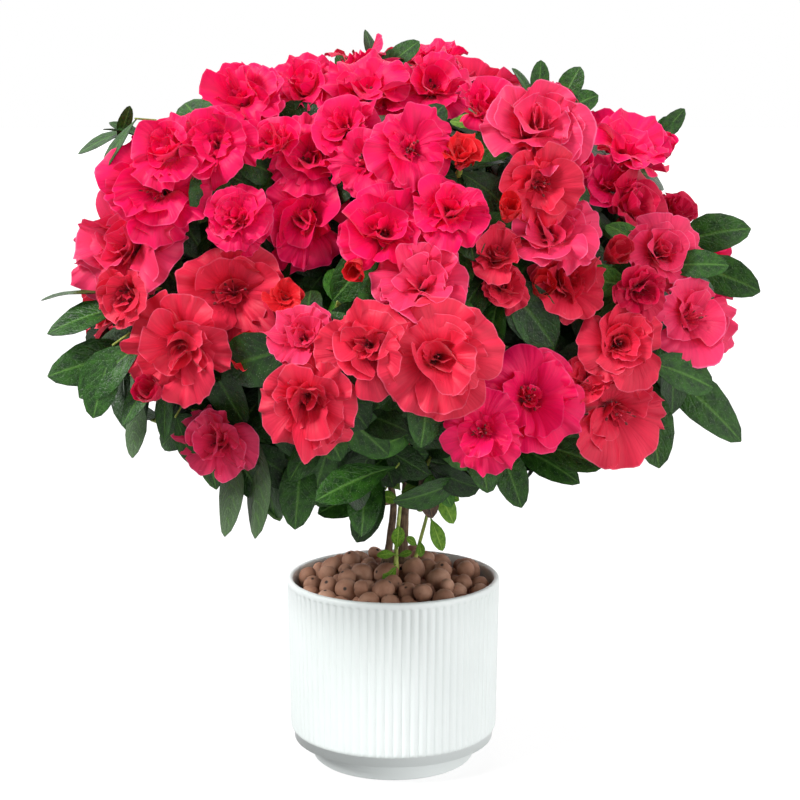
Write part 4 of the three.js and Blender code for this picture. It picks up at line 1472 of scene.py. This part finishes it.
# %% Bark
def bark_finish(name, dark, light, rough):
    """Bark with a long grain and small pale flecks."""
    material, tree, shader = finish(name, rough)
    place = own_place(tree)
    grain = noise(tree, drawn_up(tree, place, 0.3), 900.0, 4.0)
    patch = noise(tree, place, 110.0, 2.0)
    both = calc(tree, "ADD", calc(tree, "MULTIPLY", grain, 0.6), calc(tree, "MULTIPLY", patch, 0.4))
    cover(tree, shader, ramp(tree, both, [(0.38, dark), (0.62, light)]), grain, 0.6, 0.3 * MM)
    return material


old_bark = bark_finish("old_bark", colour(62, 46, 34), colour(132, 106, 82), 0.85)
limb_lines = [limbs[name] for name in limb_names]
line_piece("limbs", limb_lines, old_bark, 16, 2.5 * MM, "bark", *limb_names)

# %% Grow the twigs
TWIG_RADIUS = 0.55 * MM
GIRTH_POWER = 1 / 2.8
FORK_SHARE = 0.42
SOFTNESS = 0.36
INTO_BOUGH = 2 * MM
TWIG_END = 9 * MM
twig_draw = np.random.default_rng(SEED + 5)
twig_lines = []


def curve(start, heading, end, arriving, steps=6):
    """Points on a smooth curve that leaves along one direction and arrives along another."""
    pull = np.linalg.norm(end - start) * SOFTNESS
    corners = np.array([start, start + heading * pull, end - arriving * pull, end])
    t = np.linspace(0, 1, steps)[:, None]
    weights = np.hstack([(1 - t) ** 3, 3 * t * (1 - t) ** 2, 3 * t**2 * (1 - t), t**3])
    return weights @ corners


def girth(count):
    """The radius of a twig that feeds this many shoots."""
    return TWIG_RADIUS * count**GIRTH_POWER


def grow(start, heading, places, axes):
    """Grows from a start towards all these places, forking on the way."""
    if len(places) == 1:
        points = curve(start, heading, places[0], axes[0])
        twig_lines.append((points, np.linspace(girth(1.6), girth(1), len(points))))
        return
    middle = places.mean(0)
    way = unit(unit(middle - start) + 0.5 * heading + twig_draw.normal(0, 0.12, 3))
    fork = start + way * np.linalg.norm(middle - start) * FORK_SHARE
    points = curve(start, heading, fork, way)
    twig_lines.append((points, np.linspace(girth(len(places)) * 1.05, girth(len(places)), len(points))))
    across = np.linalg.svd(places - middle)[2][0]
    order = np.argsort((places - middle) @ across)
    half = len(order) // 2
    for group in (order[:half], order[half:]):
        towards = unit(unit(places[group].mean(0) - fork) + 0.9 * way)
        grow(fork, towards, places[group], axes[group])


for number, name in enumerate(mass_names):
    mine = [shoot for shoot in shoots if shoot["mass"] == number]
    if mine:
        middles = limbs[name.replace("mass_", "bough_")][0]
        heading = unit(middles[-1] - middles[-2])
        axes = np.array([shoot["axis"] for shoot in mine])
        stalk_feet = np.array([shoot["place"] for shoot in mine]) - axes * TWIG_END
        grow(middles[-1] - heading * INTO_BOUGH, heading, stalk_feet, axes)
twig_bark = bark_finish("twig_bark", colour(84, 62, 42), colour(146, 116, 84), 0.8)
line_piece("twigs", twig_lines, twig_bark, 6, 6 * MM, "bark", *mass_names)
print(len(twig_lines), "twigs")

# %% Green stalks
# Each shoot ends in a green stalk, which starts inside its twig. Under a flower it swells into the
# flower's base, and between leaves into a bud. For each kind of shoot: how far its stalk goes, and its
# radii on the way, in mm.
STALK_START = 11
STALK_OF_KIND = {
    "flowering": (3.0, (0.6, 0.7, 1.2, 2.2, 0.5)),
    "leafy": (BUD_REACH, (0.6, 0.9, 1.1, 2.3, 1.9, 0.4)),
    "lone": (1.0, (0.6, 0.6, 0.5, 0.5)),
}
stalk_lines = []
for shoot in shoots:
    reach, radii = STALK_OF_KIND[shoot["kind"]]
    start, tip = (shoot["place"] + shoot["axis"] * far * MM for far in (-STALK_START, reach))
    stalk_lines.append((np.linspace(start, tip, len(radii)), np.array(radii) * MM))
green_wood = bark_finish("green_wood", colour(112, 138, 46), colour(178, 192, 96), 0.6)
line_piece("stalks", stalk_lines, green_wood, 6, 4 * MM, "young_wood", *mass_names)
young_shoots = ["shoot_front", "shoot_right"]
young_lines = [limbs[name] for name in young_shoots]
line_piece("young_shoots", young_lines, green_wood, 12, 2 * MM, "young_wood", *young_shoots)

# %% Stamens and styles
# Each flower shows a few thin red filaments in its throat, each with a darker anther at its end, and one
# longer style, whose wide foot closes the throat. A double flower has turned most of its stamens into
# petals, so it keeps fewer and shorter ones. For each form: the fewest and one past the most, and the
# shortest and longest as shares of the flower's width.
STAMENS_OF_FORM = {
    "open": (4, 8, 0.20, 0.34),
    "half": (2, 5, 0.20, 0.34),
    "double": (2, 5, 0.12, 0.22),
    "rosette": (2, 5, 0.12, 0.22),
}
STYLE_RADII = np.array([2.4, 2.0, 0.6, 0.4]) * MM
FILAMENT_RADII = np.linspace(0.42, 0.3, 5) * MM
ANTHER_RADII = np.array([0.35, 0.8, 0.4]) * MM
ANTHER_PLACES = np.array([[-0.9], [0.0], [1.1]])
stamen_draw = np.random.default_rng(SEED + 6)
filaments, anthers = [], []
for flower in flowers:
    if flower["form"] not in STAMENS_OF_FORM:
        continue
    fewest, most, shortest, longest = STAMENS_OF_FORM[flower["form"]]
    axes = turned_axes(flower["facing"][None], stamen_draw.normal(0, 1, (1, 3)))[0]
    heights = np.array([-1.5 * MM, 0.5 * MM, 3.5 * MM, longest * flower["width"]])
    filaments.append((flower["root"] + axes[2] * heights[:, None], STYLE_RADII))
    for _ in range(int(stamen_draw.integers(fewest, most))):
        turn = stamen_draw.uniform(0, FULL_TURN)
        spread = stamen_draw.uniform(0.1, 0.55)
        aside = axes[0] * math.cos(turn) + axes[1] * math.sin(turn)
        reach = flower["width"] * stamen_draw.uniform(shortest, longest)
        end = flower["root"] + (axes[2] + aside * spread) * reach
        arriving = unit(axes[2] + aside * 1.6 * spread)
        start = flower["root"] - axes[2] * 1 * MM
        filaments.append((curve(start, axes[2], end, arriving, len(FILAMENT_RADII)), FILAMENT_RADII))
        anthers.append((end + arriving * ANTHER_PLACES * MM, ANTHER_RADII))
red_thread = bark_finish("red_filament", colour(190, 14, 50), colour(244, 84, 112), 0.5)
brown_anther = bark_finish("brown_anther", colour(70, 14, 20), colour(130, 44, 46), 0.7)
line_piece("filaments", filaments, red_thread, 4, 3 * MM, "blossom", *mass_names)
line_piece("anthers", anthers, brown_anther, 5, 1 * MM, "blossom", *mass_names)
print(len(anthers), "stamens,", len(filaments) - len(anthers), "styles")
